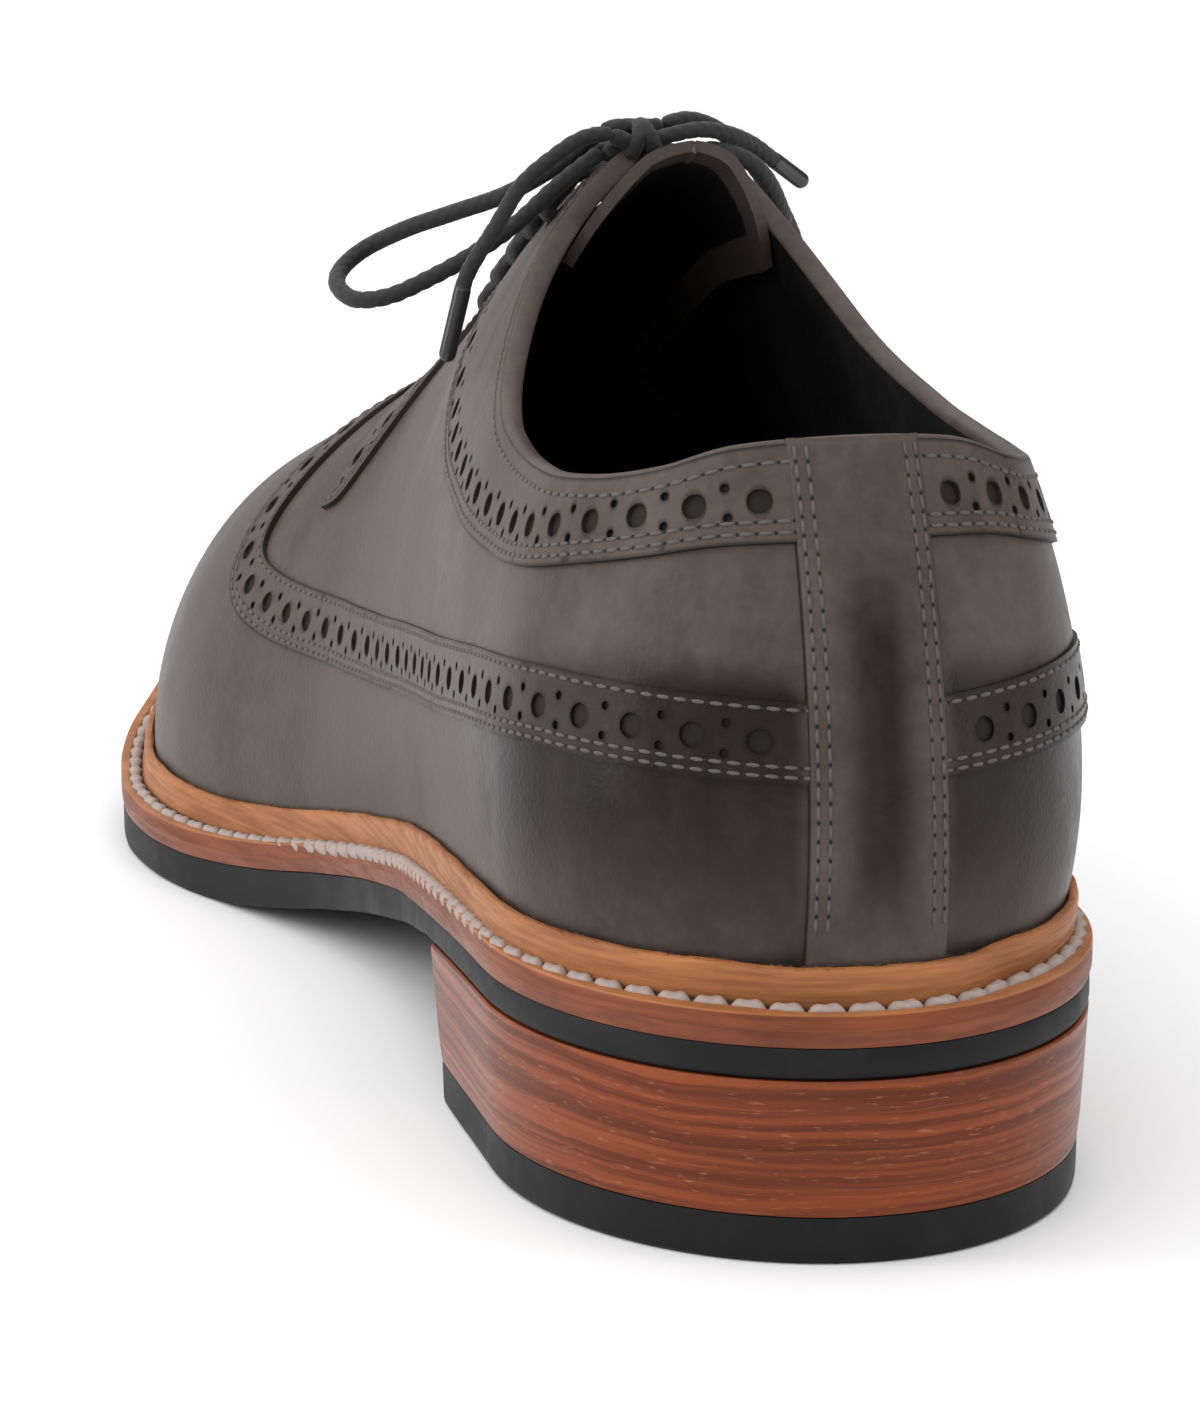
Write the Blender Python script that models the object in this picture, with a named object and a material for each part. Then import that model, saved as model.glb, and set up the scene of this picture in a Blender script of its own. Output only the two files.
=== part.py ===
# Longwing derby brogue, a left shoe that stands on its sole. Sizes are in millimetres until a mesh is made.
# +Y points to the toe, +Z up and -X to the lateral side. Inside the functions Y runs from the back of the heel
# and X from the heel's axis. Meshes are moved so that the origin lies under the middle of the outline.

import math

import bmesh
import bpy
import numpy as np

for leftover in list(bpy.data.objects):
    bpy.data.objects.remove(leftover)

# Named sizes

LENGTH = 304.0
CENTRE_X = 5.0
HEEL_ROUND = 47.0
TOE_ROUND = 66.0
TOE_SQUARE = 2.3
LIFT_HEIGHT = 5.8
WELT_THICK = 2.2
MIDSOLE_THICK = 2.0
LIP_HEIGHT = 4.6
LIP_THICK = 1.5
BREAST_Y = 80.0
HEEL_TAPER = 1.8
LAYER_GAP = 0.15
PIECE_GAP = 0.3

WALL = 1.6
BAND_STEP = 0.9
QUARTER_STEP = 0.5
COLLAR_STEP = 1.2
STRIP_STEP = 1.5
INSOLE_THICK = 2.5
TONGUE_THICK = 1.6
LACE = 2.3
EYELET = 4.4


def table(text):
    """Columns by name from a header line and a row for each station."""
    lines = [line.split() for line in text.strip().splitlines()]
    values = np.array([[float(word) for word in line] for line in lines[1:]])
    return dict(zip(lines[0], values.T))


# Sole: edge each side of the axis before the ends are rounded, top of the welt, underside and how far the
# upper's foot stands in from the welt's edge
SOLE = table("""
y     axis  lateral  medial  top    under  inset
0     0     38.0     38.0    31.0   22.8   8.2
20    0     38.0     38.0    31.0   22.8   6.0
45    0     37.9     38.2    31.0   22.8   4.3
60    0     37.4     38.6    30.5   22.4   4.0
80    0     36.6     37.2    29.2   21.4   4.0
100   0     34.6     34.8    26.4   18.2   4.1
120   0     32.4     35.0    23.0   14.2   4.2
140   0     32.0     37.8    19.4   10.2   4.3
160   0     34.2     43.0    15.6   6.0    4.5
180   0     39.8     49.8    11.9   1.8    5.0
190   0     43.2     53.0    10.6   0.3    5.3
200   0     46.8     55.6    10.0   0.0    5.5
215   0.5   50.2     58.0    9.8    0.0    5.6
228   1.2   51.2     58.8    9.9    0.0    5.7
242   2.1   50.2     57.4    10.8   0.7    5.9
256   3.2   48.6     54.8    12.8   2.6    6.1
271   4.2   46.0     51.6    16.0   5.8    6.4
287   5.0   44.8     48.0    20.2   10.2   6.8
304   5.5   43.6     45.0    24.4   14.8   7.0
""")

# Last: each section runs from the foot of the upper to its end on the ridge line, as a cubic curve whose
# handles are a bulge out and a height at the foot, and a share of the width and of the height at the ridge
LAST = table("""
y      end_y  end_x  end_z  bulge_lat  bulge_med  low   round_lat  round_med  high
8.2    50     0.8    131    10.5       10.5       0.33  0.73       0.73       0.80
18     51     1.2    131    11.8       12.2       0.33  0.70       0.70       0.81
30     54     1.8    131    12.2       12.8       0.33  0.65       0.67       0.83
45     60     2.8    131    11.6       12.8       0.33  0.62       0.69       0.84
60     68     3.7    130    10.6       12.2       0.34  0.62       0.76       0.85
80     83     4.6    128    9.0        10.4       0.36  0.66       0.84       0.87
100    100    5.2    125    8.6        8.8        0.38  0.66       0.82       0.90
115    115    5.5    121    10.0       7.2        0.40  0.62       0.74       0.93
130    130    5.8    116    10.2       6.4        0.42  0.57       0.64       0.95
145    145    6.2    108.5  9.4        5.8        0.43  0.55       0.58       0.96
160    160    6.6    100.5  7.4        5.2        0.44  0.55       0.56       0.97
175    175    6.8    91.5   5.4        4.8        0.45  0.56       0.56       0.98
190    190    6.6    83     4.8        4.6        0.46  0.57       0.57       0.99
205    205    6.2    77     4.4        4.4        0.46  0.58       0.58       1.00
220    220    5.8    71.8   4.0        4.2        0.46  0.60       0.60       1.00
235    235    5.6    67.2   3.8        4.0        0.47  0.62       0.62       1.00
250    248    5.5    63.2   3.6        3.8        0.48  0.64       0.64       1.00
264    258    5.5    60     3.4        3.6        0.50  0.68       0.68       1.00
278    266    5.5    57.5   3.4        3.4        0.52  0.72       0.72       1.00
290    270    5.5    56     3.4        3.4        0.54  0.74       0.74       1.00
297    272    5.5    55.5   3.4        3.4        0.55  0.75       0.75       1.00
""")

# Heights of the topline and of the panels' edges, by the place of a section's foot
EDGES = table("""
y     topline  collar  wing_top  wing_low
8.2   95       84.2    66.0      57.0
14    93.7     83.3    66.8      57.4
22    90.7     81.2    67.0      57.8
32    88.6     79.0    66.8      57.8
46    87.2     76.4    65.6      56.6
60    86.9     75.0    64.0      54.8
74    88.0     74.8    62.2      52.6
84    90.6     75.2    60.8      51.0
92    94       75.7    59.6      49.8
99    98.5     76.2    58.6      48.8
105   103.5    76.8    57.7      48.0
110   109.5    77.6    57.0      47.2
115   118      78.8    56.4      46.4
124   126      82.4    55.2      45.0
133   126      88.6    54.0      43.6
140   126      94.4    53.0      42.6
147   126      95.6    52.2      41.8
155   126      92.6    51.3      41.0
163   126      87.4    50.6      40.4
171   126      79.0    49.9      40.0
177   126      68.0    49.5      39.7
182   126      61.0    49.2      39.6
190   126      58.0    49.0      39.6
201   126      59.0    51.5      40.4
209   126      62.0    54.0      42.2
217   126      62.0    54.0      45.5
""")


def along(xs, ys, x):
    """A monotone cubic through the stations, level beyond both ends."""
    x = np.clip(np.asarray(x, float), xs[0], xs[-1])
    h = np.diff(xs)
    slope = np.diff(ys) / h
    tangent = np.zeros(len(xs))
    tangent[0], tangent[-1] = slope[0], slope[-1]
    same = slope[:-1] * slope[1:] > 0
    w0, w1 = 2 * h[1:] + h[:-1], h[1:] + 2 * h[:-1]
    inner = tangent[1:-1]
    inner[same] = ((w0 + w1)[same]) / (w0[same] / slope[:-1][same] + w1[same] / slope[1:][same])
    i = np.clip(np.searchsorted(xs, x, side="right") - 1, 0, len(xs) - 2)
    t = (x - xs[i]) / h[i]
    return (
        (1 + 2 * t) * (1 - t) ** 2 * ys[i]
        + t * (1 - t) ** 2 * h[i] * tangent[i]
        + t * t * (3 - 2 * t) * ys[i + 1]
        + t * t * (t - 1) * h[i] * tangent[i + 1]
    )


def sole(name, y):
    return along(SOLE["y"], SOLE[name], y)


def last(name, y):
    return along(LAST["y"], LAST[name], y)


def edge(name, y):
    return along(EDGES["y"], EDGES[name], y)


def rim(side, y):
    """Plan X of the sole's edge at Y. Side is -1 for lateral and 1 for medial."""
    heel = np.clip(1 - y / HEEL_ROUND, 0, 1)
    toe = np.clip((y - LENGTH + TOE_ROUND) / TOE_ROUND, 0, 1)
    rounding = np.sqrt(1 - heel**2) * (1 - toe**TOE_SQUARE) ** (1 / TOE_SQUARE)
    return sole("axis", y) + side * sole("lateral" if side < 0 else "medial", y) * rounding


def spread(q, start, end):
    """Stations from 0 at the heel to 1 at the toe, close together at both ends."""
    return start + (end - start) * (1 - np.cos(np.pi * np.asarray(q, float))) / 2


def dense_foot(side):
    """The upper's foot line in plan, as the sole's edge set in along its own normal."""
    y = spread(np.linspace(0, 1, 801), 0, LENGTH)
    x = rim(side, y)
    dx, dy = np.gradient(x), np.gradient(y)
    dx[0], dy[0] = side, 0
    dx[-1], dy[-1] = -side, 0
    run = np.hypot(dx, dy)
    inset = sole("inset", y)
    return x - side * dy / run * inset, y + side * dx / run * inset


FOOT_LINES = {side: dense_foot(side) for side in (-1, 1)}
FOOT_BACK = float(FOOT_LINES[-1][1][0])
FOOT_FRONT = float(FOOT_LINES[-1][1][-1])


def foot(side, q):
    """Plan X and Y of the upper's foot at station q."""
    y = spread(q, FOOT_BACK, FOOT_FRONT)
    xs, ys = FOOT_LINES[side]
    order = np.maximum.accumulate(ys)
    return np.interp(y, order + np.arange(len(order)) * 1e-9, xs), y


def surface(side, q, v):
    """A point of the last's surface: station q round the foot, v from 0 at the foot to 1 at the ridge."""
    q, v = np.broadcast_arrays(np.asarray(q, float), np.asarray(v, float))
    x, y = foot(side, q)
    z = sole("top", y) - WELT_THICK + PIECE_GAP
    end_x, end_y, end_z = last("end_x", y), last("end_y", y), last("end_z", y)
    reach = np.hypot(x - end_x, y - end_y)
    height = end_z - z
    bulge = last("bulge_lat" if side < 0 else "bulge_med", y)
    r1 = reach + bulge
    r2 = reach * last("round_lat" if side < 0 else "round_med", y)
    b0, b1, b2, b3 = (1 - v) ** 3, 3 * v * (1 - v) ** 2, 3 * v * v * (1 - v), v**3
    r = b0 * reach + b1 * r1 + b2 * r2
    up = b1 * last("low", y) * height + b2 * last("high", y) * height + b3 * height
    share = r / reach
    return np.stack([end_x + (x - end_x) * share, end_y + (y - end_y) * share, z + up], -1)


def reach_gap(side, q, gap):
    """The v at which the section at station q comes to this distance from the ridge line."""
    v = np.linspace(0, 1, 201)
    away = np.abs(surface(side, q, v)[:, 0] - last("end_x", foot(side, q)[1]))
    return float(np.interp(-gap, -away, v))


# Grid round the upper

STRIP_FOOT = 8.7
STRIP_TOP = 7.9
FACING_END = 190.0
THROAT_END = 186.0
TURN_INNER = 201.0
TURN_OUTER = 217.0
SEAM = 0.12

# Half the opening between the facings, from the corner at the top of a facing to the foot of the throat
OPENING = table("""
y    gap
115  7.4
150  6.4
172  5.6
180  4.4
184  2.6
186  0
""")

# Shares of each zone's height at which the grid has a row: below the wing band, on it, the quarter, the collar
ZONES = ((0, 0.22, 0.45, 0.72, 1), (0, 0.5, 1), (0, 0.2, 0.4, 0.6, 0.8, 1), (0, 0.35, 0.7, 1))
INNER_ROWS = np.linspace(0, 1, 8)


def normal(side, q, v):
    """Unit normal of the last's surface, out of the shoe. The two sides share it where they meet."""

    def one(s):
        reach = 0.003
        around = surface(s, np.minimum(q + reach, 1), v) - surface(s, np.maximum(q - reach, 0), v)
        up = surface(s, q, np.minimum(v + reach, 1)) - surface(s, q, np.maximum(v - reach, 0))
        cross = s * np.cross(around, up)
        return cross / np.maximum(np.linalg.norm(cross, axis=-1, keepdims=True), 1e-9)

    q, v = np.broadcast_arrays(np.asarray(q, float), np.asarray(v, float))
    shared = ((q < 1e-6) | (q > 1 - 1e-6) | (v > 1 - 1e-6))[..., None]
    mean = one(side) + one(-side)
    mean = mean / np.maximum(np.linalg.norm(mean, axis=-1, keepdims=True), 1e-9)
    return np.where(shared, mean, one(side))


def station(y):
    """q of the section whose foot is at this Y."""
    share = (y - FOOT_BACK) / (FOOT_FRONT - FOOT_BACK)
    return math.acos(1 - 2 * min(max(share, 0), 1)) / math.pi


def foot_y(q):
    return float(spread(q, FOOT_BACK, FOOT_FRONT))


def strip_slant():
    """How far q shifts with v along the edge of the back strip, so that the strip keeps its width."""
    heights = np.linspace(0, 1, 21)
    q = np.linspace(0, 0.3, 601)
    edges = []
    for v in heights:
        half = STRIP_FOOT + (STRIP_TOP - STRIP_FOOT) * min(v / 0.6, 1)
        x = -(surface(-1, q, v)[:, 0] - surface(-1, 0, v)[0])
        edges.append(float(np.interp(half, np.maximum.accumulate(x), q)))
    return heights, np.array(edges)


SLANT_V, STRIP_EDGE = strip_slant()
STRIP_Q = float(STRIP_EDGE[0])


def columns():
    """(q at the foot, share of the strip's slant, on the strip) for the columns of one side, heel to toe."""
    places = [(0.0, 0.0, True), (STRIP_Q / 2, 0.5, True)]
    places += [(STRIP_Q - 0.0006, 1.0, True), (STRIP_Q + 0.0006, 1.0, False)]
    doubled = (FACING_END, TURN_INNER, TURN_OUTER)
    marks = [station(y) for y in (111.5, 115.0, 172.0, 180.0, THROAT_END)]
    seams = [station(y + gap) for y in doubled for gap in (-SEAM, SEAM)]
    for q in np.linspace(STRIP_Q, 1, 37)[1:]:
        if min(abs(q - mark) for mark in marks + seams) > 0.008:
            places.append((float(q), float(max(0.0, 1 - (q - STRIP_Q) / 0.16)), False))
    places += [(q, 0.0, False) for q in marks + seams]
    return sorted(places)


# How far the columns near the wing's turn lean back on their way up to the ridge
LEAN = table("""
y    back
165  0
186  5
201  12
217  13
235  8
260  0
""")


def path(place, v):
    """q along a column: by the back strip the columns slant with its edge, ahead of the throat they lean back."""
    q = place[0] + place[1] * (np.interp(v, SLANT_V, STRIP_EDGE) - STRIP_Q)
    climb = np.clip((np.asarray(v, float) - 0.42) / 0.58, 0, 1) ** 0.6
    y = foot_y(place[0])
    lean = 0.0 if y < 165 or y > 260 else float(along(LEAN["y"], LEAN["back"], y))
    slope = math.pi / 2 * (FOOT_FRONT - FOOT_BACK) * math.sin(math.pi * place[0])
    return np.maximum(q - lean * climb / max(slope, 1), 0.0)


def zone_lines(side, place):
    """v at the foot, the band's lower and upper edge, the collar's edge and the top of a column."""
    y = foot_y(place[0])
    v = np.linspace(0, 1, 81)
    z = np.maximum.accumulate(surface(side, path(place, v), v)[:, 2])
    low, top, collar = (float(np.interp(edge(name, y), z, v)) for name in ("wing_low", "wing_top", "collar"))
    if y < 114.9:
        end = float(np.interp(edge("topline", y), z, v))
    elif y < THROAT_END - 0.01:
        away = np.abs(surface(side, path(place, v), v)[:, 0] - last("end_x", y))
        end = float(np.interp(-float(along(OPENING["y"], OPENING["gap"], y)), -away, v))
    else:
        end = 1.0
    ahead = min(max((y - TURN_OUTER) / 20, 0), 1)
    low, top, collar = (a + (b - a) * ahead for a, b in ((low, 0.36), (top, 0.52), (collar, 0.72)))
    return 0.0, low, top, collar, end


def raised(place, zone):
    """How far the panel in this zone stands out from the wall."""
    y = foot_y(place[0])
    if place[2]:
        return STRIP_STEP
    if TURN_INNER < y < TURN_OUTER:
        return BAND_STEP if zone else 0.0
    quarter = y < FACING_END
    band = y < TURN_OUTER
    return (0.0, BAND_STEP * band, QUARTER_STEP * quarter, COLLAR_STEP * quarter)[zone]


def outer_rows(side, place):
    """(v, step) down a column's outer face, with two rows at each panel's edge."""
    lines = zone_lines(side, place)
    rows = []
    for zone, shares in enumerate(ZONES):
        start = lines[zone] + (0.0016 if zone else 0)
        end = lines[zone + 1] - (0.0016 if zone < 3 else 0)
        rows += [(start + (end - start) * share, raised(place, zone)) for share in shares]
    return np.array(rows)


PLACES = columns()
LOOP = [(-1, place) for place in PLACES] + [(1, place) for place in PLACES[-2:0:-1]]


def skin(side, place, v, out):
    """Points of a column at these v, moved out along the normal."""
    q = path(place, v)
    move = normal(side, q, v) * np.reshape(out, (-1, 1))
    move[np.asarray(v) < 1e-9, 2] = 0
    return surface(side, q, v) + move


# Meshes

SHIFT = np.array([-CENTRE_X, -LENGTH / 2, 0.0])


def material(name, colour, roughness):
    made = bpy.data.materials.new(name)
    made.use_nodes = True
    shader = made.node_tree.nodes["Principled BSDF"]
    shader.inputs["Base Color"].default_value = (*colour, 1)
    shader.inputs["Roughness"].default_value = roughness
    return made


def add(name, points, faces, mat):
    """A mesh object from points in millimetres, with its faces turned outward."""
    mesh = bpy.data.meshes.new(name)
    mesh.from_pydata([tuple(p) for p in (np.asarray(points) + SHIFT) * 0.001], [], [tuple(f) for f in faces])
    made = bmesh.new()
    made.from_mesh(mesh)
    bmesh.ops.remove_doubles(made, verts=made.verts, dist=1e-6)
    bmesh.ops.dissolve_degenerate(made, edges=made.edges, dist=1e-7)
    bmesh.ops.recalc_face_normals(made, faces=made.faces)
    if made.calc_volume(signed=True) < 0:
        bmesh.ops.reverse_faces(made, faces=made.faces)
    made.to_mesh(mesh)
    made.free()
    mesh.shade_smooth()
    mesh.set_sharp_from_angle(angle=math.radians(35))
    mesh.materials.append(mat)
    obj = bpy.data.objects.new(name, mesh)
    bpy.context.scene.collection.objects.link(obj)
    return obj


def slab(name, outlines, mat):
    """A solid between closed outlines of the same count, capped by rungs from side to side."""
    count = len(outlines[0])
    points = np.concatenate(outlines)
    faces = []
    for layer in range(len(outlines) - 1):
        a = layer * count
        for j in range(count):
            k = (j + 1) % count
            faces.append((a + j, a + k, a + count + k, a + count + j))
    for a in (0, (len(outlines) - 1) * count):
        for j in range(1, count // 2):
            faces.append((a + j, a + j + 1, a + (count - j - 1) % count, a + count - j))
        faces.append((a, a + 1, a + count - 1))
    return add(name, points, faces, mat)


def ring(name, loops, mat):
    """A solid swept round the shoe: loops is one closed line round the shoe for each corner of its section."""
    corners, count = len(loops), len(loops[0])
    faces = []
    for i in range(corners):
        for j in range(count):
            k, n = (j + 1) % count, (i + 1) % corners
            faces.append((i * count + j, i * count + k, n * count + k, n * count + j))
    return add(name, np.concatenate(loops), faces, mat)


def sole_line(inset, height, start=0.0, end=LENGTH, count=56):
    """The sole's edge set in by inset, at a height that is a function of Y, lateral side then medial."""
    q = np.linspace(0, 1, count)
    sides = []
    for side in (-1, 1):
        y = spread(q, 0, LENGTH) if end == LENGTH else end * (1 - np.cos(q * math.pi / 2))
        x = rim(side, y)
        fine = np.array([1e-3])
        dx = rim(side, np.minimum(y + fine, LENGTH)) - rim(side, np.maximum(y - fine, 0))
        dy = np.minimum(y + fine, LENGTH) - np.maximum(y - fine, 0)
        run = np.hypot(dx, dy)
        ix, iy = -side * dy / run * inset, side * dx / run * inset
        if end != LENGTH:
            iy[-1] = 0
        px, py = x + ix, y + iy
        if end == LENGTH:
            px[[0, -1]] = sole("axis", y[[0, -1]])
            py[[0, -1]] = inset, LENGTH - inset
        else:
            px[0], py[0] = 0.0, inset
        sides.append(np.stack([px, py, height(py)], -1))
    if end == LENGTH:
        return np.concatenate([sides[0], sides[1][-2:0:-1]])
    return np.concatenate([sides[0], sides[1][:0:-1]])


leather = material("upper_leather", (0.12, 0.10, 0.092), 0.45)
lining = material("tongue_leather", (0.10, 0.085, 0.08), 0.5)
tan = material("welt_leather", (0.42, 0.17, 0.06), 0.55)
brown = material("midsole_leather", (0.22, 0.07, 0.035), 0.5)
stack_brown = material("heel_leather", (0.20, 0.06, 0.03), 0.4)
rubber = material("sole_rubber", (0.018, 0.018, 0.02), 0.6)
lift_rubber = material("lift_rubber", (0.016, 0.016, 0.017), 0.6)
insole_leather = material("insole_leather", (0.03, 0.027, 0.025), 0.7)
cord = material("lace_cord", (0.012, 0.012, 0.013), 0.8)

# Sole and heel


def top_of(y):
    return sole("top", y)


def seat_of(y):
    return sole("top", y) - WELT_THICK


def midsole_under(y):
    return seat_of(y) - MIDSOLE_THICK


def outsole_under(y):
    return sole("under", y)


slab(
    "midsole",
    [
        sole_line(0.1, lambda y: seat_of(y)),
        sole_line(0.1, lambda y: midsole_under(y)),
    ],
    brown,
)
slab(
    "outsole",
    [
        sole_line(0.3, lambda y: midsole_under(y) - LAYER_GAP),
        sole_line(0.35, lambda y: outsole_under(y) + 0.8),
        sole_line(1.0, outsole_under),
    ],
    rubber,
)
slab(
    "heel_stack",
    [
        sole_line(0.35, lambda y: outsole_under(y) - LAYER_GAP, end=BREAST_Y + 1, count=16),
        sole_line(0.9, lambda y: 0 * y + 14.0, end=BREAST_Y, count=16),
        sole_line(HEEL_TAPER - 0.3, lambda y: 0 * y + LIFT_HEIGHT + LAYER_GAP, end=BREAST_Y - 1, count=16),
    ],
    stack_brown,
)
slab(
    "top_lift",
    [
        sole_line(HEEL_TAPER - 0.3, lambda y: 0 * y + LIFT_HEIGHT, end=BREAST_Y - 1, count=16),
        sole_line(HEEL_TAPER - 0.1, lambda y: 0 * y + 0.6, end=BREAST_Y - 1.4, count=16),
        sole_line(HEEL_TAPER + 0.6, lambda y: 0 * y, end=BREAST_Y - 2, count=16),
    ],
    lift_rubber,
)

# Storm welt: its lip follows the outer face of the upper, its flange ends at the sole's edge


def welt_loops():
    names = ("foot", "mid", "lip_in", "lip_out", "root", "groove", "shelf", "edge", "under")
    loops = {name: [] for name in names}
    for side, place in LOOP:
        y_foot = foot_y(place[0])
        clear = (STRIP_STEP if place[2] else 0.0) + PIECE_GAP
        v = np.linspace(0, 0.4, 81)
        z = surface(side, path(place, v), v)[:, 2]
        top = float(sole("top", y_foot))
        heights = {"foot": top - WELT_THICK + PIECE_GAP, "mid": top + LIP_HEIGHT / 2, "lip_in": top + LIP_HEIGHT}
        for name, height in heights.items():
            at = np.interp([height], z, v)
            loops[name].append(skin(side, place, at, [clear])[0])
        at = np.interp([top + LIP_HEIGHT - 0.5], z, v)
        loops["lip_out"].append(skin(side, place, at, [clear + LIP_THICK - 0.3])[0])
        at = np.interp([top + 0.2], z, v)
        root = skin(side, place, at, [clear + LIP_THICK + 0.5])[0]
        y_rim = float(spread(place[0], 0, LENGTH))
        out = np.array([float(rim(side, y_rim)), y_rim, float(sole("top", y_rim))])
        across = (out - root) * [1, 1, 0]
        width = float(np.hypot(across[0], across[1]))
        unit = across / width
        root[2] = top_of(root[1]) - 0.1
        groove = root + unit * min(1.0, width * 0.3)
        groove[2] = top_of(groove[1]) - 0.5
        shelf = out - unit * 0.5
        shelf[2] = top_of(shelf[1])
        out[2] = top_of(out[1]) - 0.5
        under = np.array([out[0], out[1], seat_of(out[1]) + LAYER_GAP])
        loops["root"].append(root)
        loops["groove"].append(groove)
        loops["shelf"].append(shelf)
        loops["edge"].append(out)
        loops["under"].append(under)
    for point in loops["foot"]:
        point[2] = seat_of(point[1]) + LAYER_GAP
    return [np.array(loops[name]) for name in names]


ring("welt", welt_loops(), tan)

# Upper: outer face with the panels as steps in the wall, inner face, and the rims between them


def build_upper():
    count = len(LOOP)
    outer = [outer_rows(side, place) for side, place in LOOP]
    rows_out, rows_in = len(outer[0]), len(INNER_ROWS)
    points = []
    for (side, place), rows in zip(LOOP, outer):
        points += list(skin(side, place, rows[:, 0], rows[:, 1]))
        points += list(skin(side, place, INNER_ROWS * rows[-1, 0], np.full(rows_in, -WALL)))
    tall = rows_out + rows_in
    joined = [rows[-1, 0] > 1 - 1e-9 for rows in outer]

    def at(j, row):
        j %= count
        if joined[j] and j >= len(PLACES) and row in (rows_out - 1, tall - 1):
            j = count - j
        return j * tall + row

    faces = []
    for j in range(count):
        k = j + 1
        for row in range(rows_out - 1):
            faces.append((at(j, row), at(k, row), at(k, row + 1), at(j, row + 1)))
        for row in range(rows_out, tall - 1):
            faces.append((at(j, row + 1), at(k, row + 1), at(k, row), at(j, row)))
        faces.append((at(j, rows_out), at(k, rows_out), at(k, 0), at(j, 0)))
        if not (joined[j] and joined[k % count]):
            faces.append((at(j, rows_out - 1), at(k, rows_out - 1), at(k, tall - 1), at(j, tall - 1)))
    return add("upper", points, faces, leather)


upper = build_upper()

# Eyelets, cut through the facings

EYELET_ROWS = (121.0, 133.0, 145.0, 157.0, 169.0)


def eyelet(side, y, out=0.0):
    """Centre of an eyelet and the normal there."""
    q = station(y)
    gap = float(along(OPENING["y"], OPENING["gap"], y)) + 6.5
    v = reach_gap(side, q, gap)
    n = normal(side, q, v)
    return surface(side, q, v) + n * out, n


def tube(name, line, radius, mat, sides=6):
    """A round cord along a line of points, closed at both ends."""
    line = np.asarray(line, float)
    run = np.gradient(line, axis=0)
    run /= np.linalg.norm(run, axis=1, keepdims=True)
    across = np.cross(run[0], [0.3, 0.2, 1.0])
    points, faces = [], []
    for i, (p, t) in enumerate(zip(line, run)):
        across = across - t * np.dot(across, t)
        across /= np.linalg.norm(across)
        other = np.cross(t, across)
        for k in range(sides):
            turn = 2 * math.pi * k / sides
            points.append(p + radius * (across * math.cos(turn) + other * math.sin(turn)))
            if i:
                a, n = (i - 1) * sides, (k + 1) % sides
                faces.append((a + k, a + n, a + sides + n, a + sides + k))
    faces.append(tuple(range(sides)))
    faces.append(tuple(range(len(points) - sides, len(points))))
    return add(name, points, faces, mat)


def helper(obj):
    obj.hide_render = True
    obj.display_type = "WIRE"
    return obj


def boolean(obj, other, operation):
    change = obj.modifiers.new(operation.lower(), "BOOLEAN")
    change.operation = operation
    change.object = other
    change.solver = "EXACT"


holes = []
for side in (-1, 1):
    for number, y in enumerate(EYELET_ROWS):
        centre, n = eyelet(side, y)
        holes.append(helper(tube(f"hole_{side}_{number}", [centre - n * 5, centre + n * 5], EYELET / 2, leather, 12)))
for hole in holes:
    boolean(upper, hole, "DIFFERENCE")

# Insole, inside the foot of the upper


def foot_line(inset, height):
    sides = []
    q = np.linspace(0, 1, 40)
    for side in (-1, 1):
        v = np.zeros(len(q))
        n = normal(side, q, v) * [1, 1, 0]
        n /= np.linalg.norm(n, axis=1, keepdims=True)
        p = surface(side, q, v) - n * inset
        p[:, 2] = height(p[:, 1])
        sides.append(p)
    return np.concatenate([sides[0], sides[1][-2:0:-1]])


slab(
    "insole",
    [
        foot_line(WALL + 0.5, lambda y: seat_of(y) + PIECE_GAP + INSOLE_THICK),
        foot_line(WALL + 0.5, lambda y: seat_of(y) + PIECE_GAP),
    ],
    insole_leather,
)

# Tongue, a curved sheet under the facings from the vamp to above the topmost eyelet

TONGUE_FOOT = 198.0
TONGUE_TOP = 104.0
TONGUE_DENT = 1.0
TONGUE_DEPTH = WALL + 0.8


def tongue_point(along_share, across_share, depth):
    """A point of the tongue: 0 to 1 from foot to top, -1 to 1 from the lateral edge to the medial one."""
    y = TONGUE_FOOT + (TONGUE_TOP - TONGUE_FOOT) * along_share + 9 * along_share**3 * across_share**2
    half = 15 + 9 * along_share
    side = -1 if across_share < 0 else 1
    q = station(y)
    v = np.linspace(0.3, 1, 141)
    line = surface(side, q, v)
    left = np.concatenate([np.cumsum(np.linalg.norm(np.diff(line, axis=0), axis=1)[::-1])[::-1], [0]])
    at = np.interp(-abs(across_share) * half, -left, v)
    dent = TONGUE_DENT * (1 - min((across_share * half / 7.5) ** 2, 1)) * along_share
    return surface(side, q, at) - normal(side, q, at) * (depth + dent)


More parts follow.
